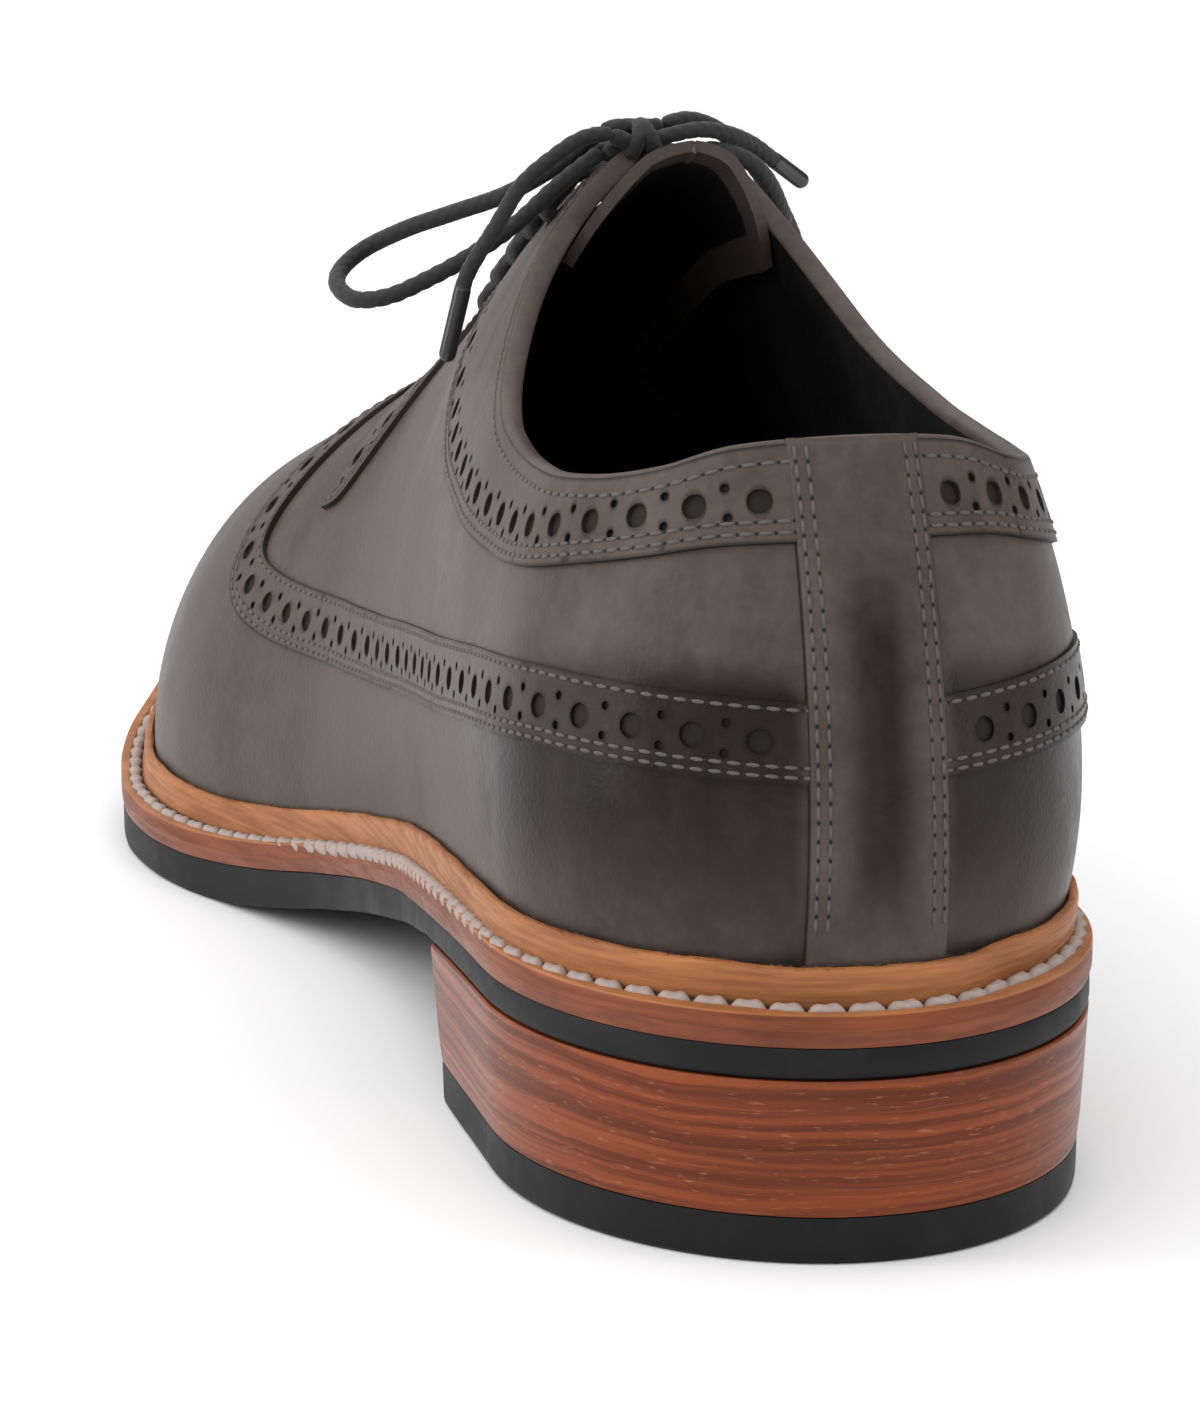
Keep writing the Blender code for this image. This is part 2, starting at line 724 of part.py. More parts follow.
def build_tongue():
    ups, acrosses = np.linspace(0, 1, 12), np.linspace(-1, 1, 9)
    depth = TONGUE_DEPTH
    layers = [
        np.array([[tongue_point(u, a, d) for a in acrosses] for u in ups]) for d in (depth, depth + TONGUE_THICK)
    ]
    rows, cols = len(ups), len(acrosses)
    size = rows * cols
    points = np.concatenate([layer.reshape(-1, 3) for layer in layers])
    faces = []
    for i in range(rows - 1):
        for j in range(cols - 1):
            a = i * cols + j
            faces.append((a, a + 1, a + cols + 1, a + cols))
            faces.append((size + a, size + a + cols, size + a + cols + 1, size + a + 1))
    border = [j for j in range(cols)] + [i * cols + cols - 1 for i in range(1, rows)]
    border += [(rows - 1) * cols + j for j in range(cols - 2, -1, -1)] + [i * cols for i in range(rows - 2, 0, -1)]
    for a, b in zip(border, border[1:] + border[:1]):
        faces.append((a, b, size + b, size + a))
    return add("tongue", points, faces, lining)


build_tongue()

# Lace: crossings from eyelet to eyelet over the tongue, with a straight bar at the lowest and the topmost row


def over(side, y, beyond):
    """A point above the facing, this far beyond the edge of the opening."""
    q = station(y)
    gap = float(along(OPENING["y"], OPENING["gap"], y)) + beyond
    v = reach_gap(side, q, gap)
    return surface(side, q, v) + normal(side, q, v) * (COLLAR_STEP + LACE / 2 + 0.5)


def middle(y):
    """A point over the tongue, in the middle of the opening."""
    q = station(y)
    dent = TONGUE_DEPTH + TONGUE_DENT * min(max((TONGUE_FOOT - y) / (TONGUE_FOOT - TONGUE_TOP), 0), 1)
    return surface(1, q, 1.0) + normal(1, q, 1.0) * (LACE / 2 + 0.7 - dent)


def crossing(side, here, there, depth=0.2):
    """A lace from the eyelet of one row to the eyelet of another on the other side."""
    lean = 0.0 if here == there else 1.3
    a, n = eyelet(side, here - lean * 0.4, depth)
    b, m = eyelet(-side, there + lean * 0.4, depth + 0.3)
    near = [over(side, here - lean, beyond) for beyond in (4.6, 1.2, -0.8)]
    far = [over(-side, there + lean, beyond) for beyond in (-0.8, 1.2, 4.6)]
    return [a, a + n * 1.9, *near, middle((here + there) / 2), *far, b + m * 1.6, b]


bars = tube("lace_bars", crossing(-1, EYELET_ROWS[-1], EYELET_ROWS[-1]), LACE / 2, cord)
routes = [crossing(-1, EYELET_ROWS[0], EYELET_ROWS[0], 0.8)]
for lower, upper_row in zip(EYELET_ROWS[1:], EYELET_ROWS):
    routes += [crossing(side, lower, upper_row, 0.45 + 0.1 * side) for side in (-1, 1)]
for number, route in enumerate(routes):
    boolean(bars, helper(tube(f"crossing_{number}", route, LACE / 2, cord)), "UNION")

# Bow: knot, loops and ends with their hard tips. The routes are in millimetres, Y from the back of the heel

BOW_ROUTES = {
    "lace_loop_lateral": (
        (-3.4, 118.4, 121.2), (-8.2, 121.0, 116.7), (-14.6, 125.0, 112.3), (-21.0, 129.0, 109.5),
        (-26.4, 132.5, 107.2), (-31.6, 135.5, 104.3), (-35.4, 134.0, 101.8), (-37.0, 129.5, 100.1),
        (-35.6, 125.0, 98.8), (-31.6, 122.5, 99.4), (-26.7, 121.2, 101.6), (-20.9, 120.0, 104.8),
        (-15.1, 118.5, 109.0), (-9.9, 117.2, 113.9), (-3.9, 116.2, 118.6),
    ),
    "lace_loop_medial": (
        (5.0, 117.9, 121.7), (9.5, 120.4, 122.0), (15.0, 124.5, 119.8), (21.0, 131.0, 115.0),
        (27.0, 138.5, 108.8), (31.5, 145.0, 102.8), (32.8, 146.8, 99.6), (32.8, 145.0, 96.3),
        (31.4, 141.2, 95.0), (29.3, 137.2, 96.6), (26.2, 130.0, 103.4), (22.8, 123.6, 110.4),
        (18.2, 118.3, 115.6), (12.5, 116.4, 118.2), (6.3, 115.7, 118.2),
    ),
    "lace_end_lateral": (
        (-2.9, 114.2, 121.2), (-7.0, 113.9, 120.7), (-10.8, 113.6, 118.6), (-15.6, 113.0, 114.9),
        (-19.6, 112.0, 109.3), (-22.5, 111.5, 105.2), (-23.7, 111.4, 103.0),
    ),
    "lace_end_medial": (
        (5.2, 114.6, 120.7), (9.5, 115.4, 121.2), (14.0, 117.6, 120.3), (18.5, 121.5, 118.4), (21.5, 124.0, 116.6),
    ),
}
TIP_ROUTES = {
    "lace_tip_lateral": ((-23.9, 111.4, 102.4), (-25.2, 111.0, 97.6), (-26.7, 110.5, 92.1)),
    "lace_tip_medial": ((21.9, 124.4, 116.2), (25.1, 127.2, 114.1), (28.6, 130.0, 111.8)),
}
KNOT = (1.2, 116.0, 120.0)
KNOT_RADII = (3.8, 3.0, 2.8)


def smooth(route, step):
    """Points at even steps along a smooth curve through the route."""
    p = np.array(route, float)
    p = np.concatenate([[2 * p[0] - p[1]], p, [2 * p[-1] - p[-2]]])
    line = []
    for a, b, c, d in zip(p, p[1:], p[2:], p[3:]):
        for t in np.linspace(0, 1, 12, endpoint=False):
            line.append(b + 0.5 * t * ((c - a) + t * (2 * a - 5 * b + 4 * c - d + t * (3 * (b - c) + d - a))))
    line = np.array(line + [p[-2]])
    run = np.concatenate([[0], np.cumsum(np.linalg.norm(np.diff(line, axis=0), axis=1))])
    at = np.linspace(0, run[-1], int(math.ceil(run[-1] / step)) + 1)
    return np.stack([np.interp(at, run, line[:, i]) for i in range(3)], -1)


def cord_curve(name, route, diameter, step):
    line = (smooth(route, step) + SHIFT) * 0.001
    curve = bpy.data.curves.new(name, "CURVE")
    curve.dimensions = "3D"
    curve.bevel_depth = diameter / 2000
    curve.bevel_resolution = 2
    curve.use_fill_caps = True
    spline = curve.splines.new("POLY")
    spline.points.add(len(line) - 1)
    for point, place in zip(spline.points, line):
        point.co = (*place, 1)
    curve.materials.append(cord)
    obj = bpy.data.objects.new(name, curve)
    bpy.context.scene.collection.objects.link(obj)


def build_knot(rounds=8, sides=12):
    points = [np.array([-1.0, 0, 0]), np.array([1.0, 0, 0])]
    for i in range(1, rounds):
        turn = math.pi * i / rounds
        for k in range(sides):
            a = 2 * math.pi * k / sides
            points.append(np.array([-math.cos(turn), math.sin(turn) * math.cos(a), math.sin(turn) * math.sin(a)]))
    faces = []
    for k in range(sides):
        n = (k + 1) % sides
        faces.append((0, 2 + n, 2 + k))
        faces.append((1, 2 + (rounds - 2) * sides + k, 2 + (rounds - 2) * sides + n))
        for i in range(rounds - 2):
            a = 2 + i * sides
            faces.append((a + k, a + n, a + sides + n, a + sides + k))
    add("lace_knot", np.array(points) * KNOT_RADII + KNOT, faces, cord)


build_knot()
for name, route in BOW_ROUTES.items():
    cord_curve(name, route, LACE, 4.4)
for name, route in TIP_ROUTES.items():
    cord_curve(name, route, LACE * 0.9, 5.5)
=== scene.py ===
import math

import bpy
import numpy as np
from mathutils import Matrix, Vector
from mathutils.geometry import delaunay_2d_cdt


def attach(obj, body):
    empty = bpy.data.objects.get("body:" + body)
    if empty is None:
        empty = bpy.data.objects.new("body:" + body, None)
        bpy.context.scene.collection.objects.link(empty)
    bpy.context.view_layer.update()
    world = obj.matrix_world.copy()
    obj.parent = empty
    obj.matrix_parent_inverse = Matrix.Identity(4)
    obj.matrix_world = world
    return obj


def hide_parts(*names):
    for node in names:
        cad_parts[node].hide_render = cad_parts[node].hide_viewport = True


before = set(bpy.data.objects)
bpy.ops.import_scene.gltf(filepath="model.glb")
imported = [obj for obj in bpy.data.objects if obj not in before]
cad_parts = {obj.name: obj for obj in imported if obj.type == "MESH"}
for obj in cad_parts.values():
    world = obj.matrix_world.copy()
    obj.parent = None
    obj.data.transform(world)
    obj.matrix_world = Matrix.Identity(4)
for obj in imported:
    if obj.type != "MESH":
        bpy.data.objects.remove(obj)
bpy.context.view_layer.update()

# Studio. A product photo on a white sweep: the camera looks down a little from behind the heel's lateral side,
# with a large soft light overhead and weaker ones from both sides.

CAMERA_PLACE = Vector((-0.1957, -0.7313, 0.1990))
CAMERA_AIM = Vector((-0.0301, -0.1140, 0.0607))
FOCAL_LENGTH = 163
SENSOR = 36

bpy.ops.object.camera_add(location=CAMERA_PLACE)
camera = bpy.context.object
camera.rotation_euler = (CAMERA_AIM - CAMERA_PLACE).to_track_quat("-Z", "Y").to_euler()
camera.data.sensor_fit = "HORIZONTAL"
camera.data.sensor_width = SENSOR
camera.data.lens = FOCAL_LENGTH
camera.data.clip_start = 0.01
bpy.context.scene.camera = camera


def softbox(name, place, aim, size, power):
    bpy.ops.object.light_add(type="AREA", location=place)
    light = bpy.context.object
    light.name = name
    light.data.shape = "RECTANGLE"
    light.data.size, light.data.size_y = size
    light.data.energy = power
    light.rotation_euler = (Vector(aim) - Vector(place)).to_track_quat("-Z", "Y").to_euler()


softbox("overhead", (0.1, 0.2, 1.3), (0, 0, 0.05), (1.6, 1.6), 1.5)
softbox("left_side", (-1.2, 0.1, 0.5), (0, 0, 0.05), (0.35, 1.1), 5)
softbox("right_side", (1.1, -0.7, 0.5), (0, 0, 0.05), (0.3, 1.0), 3)
softbox("behind_heel", (-0.45, -1.3, 0.9), (0, -0.1, 0.05), (0.5, 0.5), 1.8)

world = bpy.data.worlds.new("white_room")
world.use_nodes = True
sky = world.node_tree
sky.nodes["Background"].inputs["Color"].default_value = (1, 1, 1, 1)
direction = sky.nodes.new("ShaderNodeTexCoord").outputs["Generated"]
facing = sky.nodes.new("ShaderNodeVectorMath")
facing.operation = "DOT_PRODUCT"
facing.inputs[1].default_value = (-0.28, 0.02, 0.95)
sky.links.new(direction, facing.inputs[0])
fall = sky.nodes.new("ShaderNodeMapRange")
fall.interpolation_type = "SMOOTHSTEP"
for socket, value in (("From Min", -0.15), ("From Max", 0.85), ("To Min", 0.08), ("To Max", 1.5)):
    fall.inputs[socket].default_value = value
sky.links.new(facing.outputs["Value"], fall.inputs["Value"])
sky.links.new(fall.outputs["Result"], sky.nodes["Background"].inputs["Strength"])
bpy.context.scene.world = world
bpy.context.scene.view_settings.view_transform = "Standard"

bpy.ops.mesh.primitive_plane_add(size=60)
floor = bpy.context.object
floor.name = "floor"
paper = bpy.data.materials.new("white_paper")
paper.use_nodes = True
matt = paper.node_tree.nodes["Principled BSDF"]
matt.inputs["Base Color"].default_value = (0.86, 0.86, 0.87, 1)
matt.inputs["Roughness"].default_value = 0.9
floor.data.materials.append(paper)

# Upper leather. Taupe calf, lasted and then burnished by hand, darkest round the heel counter, in the middle of
# the back strip and on the band beside it. All leather surfaces below are laid on the last given here.

MM = 0.001
LENGTH = 304.0
HEEL_ROUND = 47.0
TOE_ROUND = 66.0
TOE_SQUARE = 2.3
WELT_THICK = 2.2
WALL = 1.6
TO_FRAME = np.array([-5.0, -LENGTH / 2, 0.0])


def table(text):
    """Columns by name from a header line and a row for each station along the shoe, in millimetres."""
    lines = [line.split() for line in text.strip().splitlines()]
    values = np.array([[float(word) for word in line] for line in lines[1:]])
    return dict(zip(lines[0], values.T))


SOLE = table("""
y     axis  lateral  medial  top    under  inset
0     0     38.0     38.0    31.0   22.8   8.2
20    0     38.0     38.0    31.0   22.8   6.0
45    0     37.9     38.2    31.0   22.8   4.3
60    0     37.4     38.6    30.5   22.4   4.0
80    0     36.6     37.2    29.2   21.4   4.0
100   0     34.6     34.8    26.4   18.2   4.1
120   0     32.4     35.0    23.0   14.2   4.2
140   0     32.0     37.8    19.4   10.2   4.3
160   0     34.2     43.0    15.6   6.0    4.5
180   0     39.8     49.8    11.9   1.8    5.0
190   0     43.2     53.0    10.6   0.3    5.3
200   0     46.8     55.6    10.0   0.0    5.5
215   0.5   50.2     58.0    9.8    0.0    5.6
228   1.2   51.2     58.8    9.9    0.0    5.7
242   2.1   50.2     57.4    10.8   0.7    5.9
256   3.2   48.6     54.8    12.8   2.6    6.1
271   4.2   46.0     51.6    16.0   5.8    6.4
287   5.0   44.8     48.0    20.2   10.2   6.8
304   5.5   43.6     45.0    24.4   14.8   7.0
""")

LAST = table("""
y      end_y  end_x  end_z  bulge_lat  bulge_med  low   round_lat  round_med  high
8.2    50     0.8    131    10.5       10.5       0.33  0.73       0.73       0.80
18     51     1.2    131    11.8       12.2       0.33  0.70       0.70       0.81
30     54     1.8    131    12.2       12.8       0.33  0.65       0.67       0.83
45     60     2.8    131    11.6       12.8       0.33  0.62       0.69       0.84
60     68     3.7    130    10.6       12.2       0.34  0.62       0.76       0.85
80     83     4.6    128    9.0        10.4       0.36  0.66       0.84       0.87
100    100    5.2    125    8.6        8.8        0.38  0.66       0.82       0.90
115    115    5.5    121    10.0       7.2        0.40  0.62       0.74       0.93
130    130    5.8    116    10.2       6.4        0.42  0.57       0.64       0.95
145    145    6.2    108.5  9.4        5.8        0.43  0.55       0.58       0.96
160    160    6.6    100.5  7.4        5.2        0.44  0.55       0.56       0.97
175    175    6.8    91.5   5.4        4.8        0.45  0.56       0.56       0.98
190    190    6.6    83     4.8        4.6        0.46  0.57       0.57       0.99
205    205    6.2    77     4.4        4.4        0.46  0.58       0.58       1.00
220    220    5.8    71.8   4.0        4.2        0.46  0.60       0.60       1.00
235    235    5.6    67.2   3.8        4.0        0.47  0.62       0.62       1.00
250    248    5.5    63.2   3.6        3.8        0.48  0.64       0.64       1.00
264    258    5.5    60     3.4        3.6        0.50  0.68       0.68       1.00
278    266    5.5    57.5   3.4        3.4        0.52  0.72       0.72       1.00
290    270    5.5    56     3.4        3.4        0.54  0.74       0.74       1.00
297    272    5.5    55.5   3.4        3.4        0.55  0.75       0.75       1.00
""")

# Heights of the topline and of the panels' edges, by the place of a section's foot
EDGES = table("""
y     topline  collar  band_top  band_low
8.2   95       84.2    66.0      57.0
14    93.7     83.3    66.8      57.4
22    90.7     81.2    67.0      57.8
32    88.6     79.0    66.8      57.8
46    87.2     76.4    65.6      56.6
60    86.9     75.0    64.0      54.8
74    88.0     74.8    62.2      52.6
84    90.6     75.2    60.8      51.0
92    94       75.7    59.6      49.8
99    98.5     76.2    58.6      48.8
105   103.5    76.8    57.7      48.0
110   109.5    77.6    57.0      47.2
115   118      78.8    56.4      46.4
124   126      82.4    55.2      45.0
133   126      88.6    54.0      43.6
140   126      94.4    53.0      42.6
147   126      95.6    52.2      41.8
155   126      92.6    51.3      41.0
163   126      87.4    50.6      40.4
171   126      79.0    49.9      40.0
177   126      68.0    49.5      39.7
182   126      61.0    49.2      39.6
190   126      58.0    49.0      39.6
""")
OPENING = table("""
y    gap
115  7.4
150  6.4
172  5.6
180  4.4
184  2.6
186  0
""")


def along(columns, name, x):
    """A monotone cubic through a table's stations, level beyond both ends."""
    xs, ys = columns["y"], columns[name]
    x = np.clip(np.asarray(x, float), xs[0], xs[-1])
    h = np.diff(xs)
    slope = np.diff(ys) / h
    tangent = np.zeros(len(xs))
    tangent[0], tangent[-1] = slope[0], slope[-1]
    same = slope[:-1] * slope[1:] > 0
    w0, w1 = 2 * h[1:] + h[:-1], h[1:] + 2 * h[:-1]
    inner = tangent[1:-1]
    inner[same] = ((w0 + w1)[same]) / (w0[same] / slope[:-1][same] + w1[same] / slope[1:][same])
    i = np.clip(np.searchsorted(xs, x, side="right") - 1, 0, len(xs) - 2)
    t = (x - xs[i]) / h[i]
    return (
        (1 + 2 * t) * (1 - t) ** 2 * ys[i]
        + t * (1 - t) ** 2 * h[i] * tangent[i]
        + t * t * (3 - 2 * t) * ys[i + 1]
        + t * t * (t - 1) * h[i] * tangent[i + 1]
    )


def rim(side, y):
    """Plan X of the sole's edge at Y. Side is -1 for lateral and 1 for medial."""
    heel = np.clip(1 - y / HEEL_ROUND, 0, 1)
    toe = np.clip((y - LENGTH + TOE_ROUND) / TOE_ROUND, 0, 1)
    rounding = np.sqrt(1 - heel**2) * (1 - toe**TOE_SQUARE) ** (1 / TOE_SQUARE)
    return along(SOLE, "axis", y) + side * along(SOLE, "lateral" if side < 0 else "medial", y) * rounding


def spread(q, start, end):
    """Stations from 0 at the heel to 1 at the toe, close together at both ends."""
    return start + (end - start) * (1 - np.cos(np.pi * np.asarray(q, float))) / 2


def feather_line(side):
    """The upper's foot line in plan, as the sole's edge set in along its own normal."""
    y = spread(np.linspace(0, 1, 801), 0, LENGTH)
    x = rim(side, y)
    dx, dy = np.gradient(x), np.gradient(y)
    dx[0], dy[0] = side, 0
    dx[-1], dy[-1] = -side, 0
    run = np.hypot(dx, dy)
    inset = along(SOLE, "inset", y)
    return x - side * dy / run * inset, y + side * dx / run * inset


FEATHER = {side: feather_line(side) for side in (-1, 1)}
FOOT_BACK = float(FEATHER[-1][1][0])
FOOT_FRONT = float(FEATHER[-1][1][-1])


def foot(side, q):
    y = spread(q, FOOT_BACK, FOOT_FRONT)
    xs, ys = FEATHER[side]
    return np.interp(y, np.maximum.accumulate(ys) + np.arange(len(ys)) * 1e-9, xs), y


def last(side, q, v):
    """A point of the last: station q round the foot, v from 0 at the foot to 1 at the ridge."""
    q, v = np.broadcast_arrays(np.asarray(q, float), np.asarray(v, float))
    x, y = foot(side, q)
    z = along(SOLE, "top", y) - WELT_THICK + 0.3
    end = np.stack([along(LAST, name, y) for name in ("end_x", "end_y", "end_z")], -1)
    reach = np.hypot(x - end[..., 0], y - end[..., 1])
    height = end[..., 2] - z
    side_name = "lat" if side < 0 else "med"
    b0, b1, b2, b3 = (1 - v) ** 3, 3 * v * (1 - v) ** 2, 3 * v * v * (1 - v), v**3
    r = b0 * reach + b1 * (reach + along(LAST, "bulge_" + side_name, y))
    r = r + b2 * reach * along(LAST, "round_" + side_name, y)
    up = b1 * along(LAST, "low", y) * height + b2 * along(LAST, "high", y) * height + b3 * height
    share = r / reach
    x, y = (end[..., i] + (p - end[..., i]) * share for i, p in enumerate((x, y)))
    return np.stack([x, y, z + up], -1)


def slopes(side, q, v, reach=0.003):
    """How far the last moves for a full step of q and of v."""
    q1, q0 = np.minimum(q + reach, 1), np.maximum(q - reach, 0)
    v1, v0 = np.minimum(v + reach, 1), np.maximum(v - reach, 0)
    round_foot = (last(side, q1, v) - last(side, q0, v)) / (q1 - q0)[..., None]
    upward = (last(side, q, v1) - last(side, q, v0)) / (v1 - v0)[..., None]
    return round_foot, upward


def out_of(side, q, v):
    """Unit normal of the last, outward. The two sides share it where they meet."""

    def one(s):
        cross = s * np.cross(*slopes(s, q, v))
        return cross / np.maximum(np.linalg.norm(cross, axis=-1, keepdims=True), 1e-9)

    q, v = np.broadcast_arrays(np.asarray(q, float), np.asarray(v, float))
    shared = np.clip(1 - np.minimum(np.minimum(q, 1 - q) / 0.004, (1 - v) / 0.02), 0, 1)[..., None]
    mixed = one(side) + shared * one(-side)
    return mixed / np.maximum(np.linalg.norm(mixed, axis=-1, keepdims=True), 1e-9)


def off_last(side, q, v, out):
    """Points this many millimetres off the last."""
    return last(side, q, v) + out_of(side, q, v) * np.asarray(out)[..., None]


def station(y):
    """q of the section whose foot is at this Y."""
    share = (np.asarray(y, float) - FOOT_BACK) / (FOOT_FRONT - FOOT_BACK)
    return np.arccos(1 - 2 * np.clip(share, 0, 1)) / np.pi


def climb_to(side, q, name):
    """The v at which each section comes to the height of an edge."""
    v = np.linspace(0, 1, 161)
    z = np.maximum.accumulate(last(side, np.asarray(q)[:, None], v[None])[..., 2], axis=1)
    goal = along(EDGES, name, foot(side, q)[1])
    return np.array([np.interp(g, row, v) for g, row in zip(goal, z)])


def climb_near(side, q, gap):
    """The v at which each section comes to this distance from the ridge line."""
    v = np.linspace(0, 1, 161)
    x = last(side, np.asarray(q)[:, None], v[None])[..., 0]
    away = np.abs(x - along(LAST, "end_x", foot(side, q)[1])[:, None])
    return np.array([np.interp(-g, -row, v) for g, row in zip(np.broadcast_to(gap, np.shape(q)), away)])


def top_line(side, q):
    """The v at the upper's top edge: the topline, the side of the lace opening, or the ridge ahead of it."""
    y = foot(side, q)[1]
    end = np.ones(len(q))
    back = y < 115
    throat = (y >= 115) & (y < 186)
    end[back] = climb_to(side, q[back], "topline")
    end[throat] = climb_near(side, q[throat], along(OPENING, "gap", y[throat]))
    return end


def node(tree, kind, inputs=None, **settings):
    """A shader node with its settings, and its inputs set or linked by name."""
    made = tree.nodes.new(kind)
    for name, value in settings.items():
        setattr(made, name, value)
    for name, value in (inputs or {}).items():
        if isinstance(value, bpy.types.NodeSocket):
            tree.links.new(value, made.inputs[name])
        else:
            made.inputs[name].default_value = value
    return made


def blend(tree, share, a, b):
    """A colour mix. a and b are colours or sockets."""
    mix = node(tree, "ShaderNodeMix", data_type="RGBA")
    for socket, value in ((mix.inputs[0], share), (mix.inputs[6], a), (mix.inputs[7], b)):
        if isinstance(value, bpy.types.NodeSocket):
            tree.links.new(value, socket)
        else:
            socket.default_value = (*value, 1)
    return mix.outputs[2]


def span(tree, value, low, high, start=0.0, end=1.0):
    """Maps low..high onto start..end, smoothly and clamped."""
    limits = {"Value": value, "From Min": low, "From Max": high, "To Min": start, "To Max": end}
    return node(tree, "ShaderNodeMapRange", limits, interpolation_type="SMOOTHSTEP").outputs["Result"]


def maths(tree, operation, a, b=0.0):
    return node(tree, "ShaderNodeMath", {0: a, 1: b}, operation=operation).outputs[0]


def times(tree, a, b):
    return maths(tree, "MULTIPLY", a, b)


def noise(tree, vector, scale, detail, rough=0.5):
    settings = {"Vector": vector, "Scale": scale, "Detail": detail, "Roughness": rough}
    return node(tree, "ShaderNodeTexNoise", settings).outputs["Fac"]


def stretched(tree, vector, scale, detail, rough=0.5):
    """Noise with its own scale along each axis."""
    turned = node(tree, "ShaderNodeMapping", {"Vector": vector, "Scale": scale})
    return noise(tree, turned.outputs[0], 1.0, detail, rough)


def finish(tree, colour, rough, height=None, relief=(0.5, 0.00005), level=0.5, coat=(0.0, 0.03)):
    """Gives the shader its colour, roughness, relief (strength, metres), gloss and coat (weight, roughness)."""
    shader = tree.nodes["Principled BSDF"]
    tree.links.new(colour, shader.inputs["Base Color"])
    if isinstance(rough, float):
        shader.inputs["Roughness"].default_value = rough
    else:
        tree.links.new(rough, shader.inputs["Roughness"])
    if height is not None:
        bumped = node(tree, "ShaderNodeBump", {"Height": height, "Strength": relief[0], "Distance": relief[1]})
        tree.links.new(bumped.outputs["Normal"], shader.inputs["Normal"])
    shader.inputs["Specular IOR Level"].default_value = level
    shader.inputs["Coat Weight"].default_value, shader.inputs["Coat Roughness"].default_value = coat


def calf_grain():
    """Pores and fine creases of calf, and slow mottling of its dye."""
    tree = bpy.data.node_groups.new("calf_grain", "ShaderNodeTree")
    tree.interface.new_socket("Vector", in_out="INPUT", socket_type="NodeSocketVector")
    for name in ("Height", "Mottle"):
        tree.interface.new_socket(name, in_out="OUTPUT", socket_type="NodeSocketFloat")
    vector = tree.nodes.new("NodeGroupInput").outputs["Vector"]
    result = tree.nodes.new("NodeGroupOutput")
    pores = node(tree, "ShaderNodeTexVoronoi", {"Vector": vector, "Scale": 1500.0, "Randomness": 1.0})
    height = maths(tree, "ADD", times(tree, pores.outputs["Distance"], 0.6), noise(tree, vector, 900.0, 4.0, 0.6))
    slow = span(tree, noise(tree, vector, 55.0, 5.0, 0.62), 0.3, 0.7, 0.0, 0.75)
    speck = span(tree, noise(tree, vector, 520.0, 2.0), 0.35, 0.7, 0.0, 0.25)
    tree.links.new(height, result.inputs["Height"])
    tree.links.new(maths(tree, "ADD", slow, speck), result.inputs["Mottle"])
    return tree


GRAIN = calf_grain()
TAUPE = (0.098, 0.077, 0.067)
TAUPE_DEEP = (0.054, 0.0405, 0.0345)
BURNT = (0.0095, 0.0062, 0.0050)


def bare_material(name):
    made = bpy.data.materials.new(name)
    made.use_nodes = True
    return made, made.node_tree, node(made.node_tree, "ShaderNodeTexCoord").outputs["Object"]


def grained(name):
    """A bare leather, with its place and the grain's height and mottling."""
    made, tree, place = bare_material(name)
    grain = node(tree, "ShaderNodeGroup", {"Vector": place}, node_tree=GRAIN)
    return made, tree, place, grain.outputs["Height"], grain.outputs["Mottle"]


def upper_leather(name, burn=1.0):
    """Burnished calf: dark on the counter and the band above it, down the middle of the back strip, and at the
    toe. burn scales it."""
    made, tree, place, height, mottle = grained(name)
    shift = times(tree, maths(tree, "SUBTRACT", noise(tree, place, 28.0, 4.0, 0.6), 0.5), 0.035)
    xyz = node(tree, "ShaderNodeSeparateXYZ", {"Vector": place})
    y = maths(tree, "ADD", xyz.outputs["Y"], shift)
    z = maths(tree, "ADD", xyz.outputs["Z"], times(tree, shift, 0.35))
    away = maths(tree, "ABSOLUTE", maths(tree, "ADD", xyz.outputs["X"], 0.005))
    counter = times(tree, span(tree, y, -0.078, -0.112), span(tree, z, 0.066, 0.056))
    brushed = times(tree, span(tree, y, -0.098, -0.132, 0.0, 0.95), span(tree, z, 0.0715, 0.066))
    beside_strip = times(tree, span(tree, away, 0.0075, 0.0105), span(tree, z, 0.036, 0.052, 0.45, 1.0))
    counter = times(tree, maths(tree, "MAXIMUM", counter, brushed), beside_strip)
    middle = times(tree, span(tree, z, 0.088, 0.074, 0.0, 0.92), span(tree, y, -0.10, -0.13))
    middle = times(tree, span(tree, away, 0.0065, 0.0012), middle)
    middle = times(tree, middle, span(tree, z, 0.036, 0.048, 0.1, 1.0))
    toe = span(tree, y, 0.095, 0.15, 0.0, 0.6)
    burnt = maths(tree, "MAXIMUM", maths(tree, "MAXIMUM", counter, middle), toe)
    streak = stretched(tree, place, (130, 130, 26), 3.0)
    burnt = times(tree, burnt, span(tree, mottle, 0.0, 0.9, 1.0, 0.94))
    burnt = times(tree, burnt, span(tree, streak, 0.36, 0.66, 1.0, 0.86))
    burnt = times(tree, burnt, burn)
    colour = blend(tree, burnt, blend(tree, mottle, TAUPE_DEEP, TAUPE), BURNT)
    rough = maths(tree, "SUBTRACT", span(tree, mottle, 0.0, 1.0, 0.36, 0.5), times(tree, burnt, 0.1))
    finish(tree, colour, rough, height, (0.8, 0.00006), 0.12, (0.05, 0.3))
    return made


calf = upper_leather("burnished_calf")


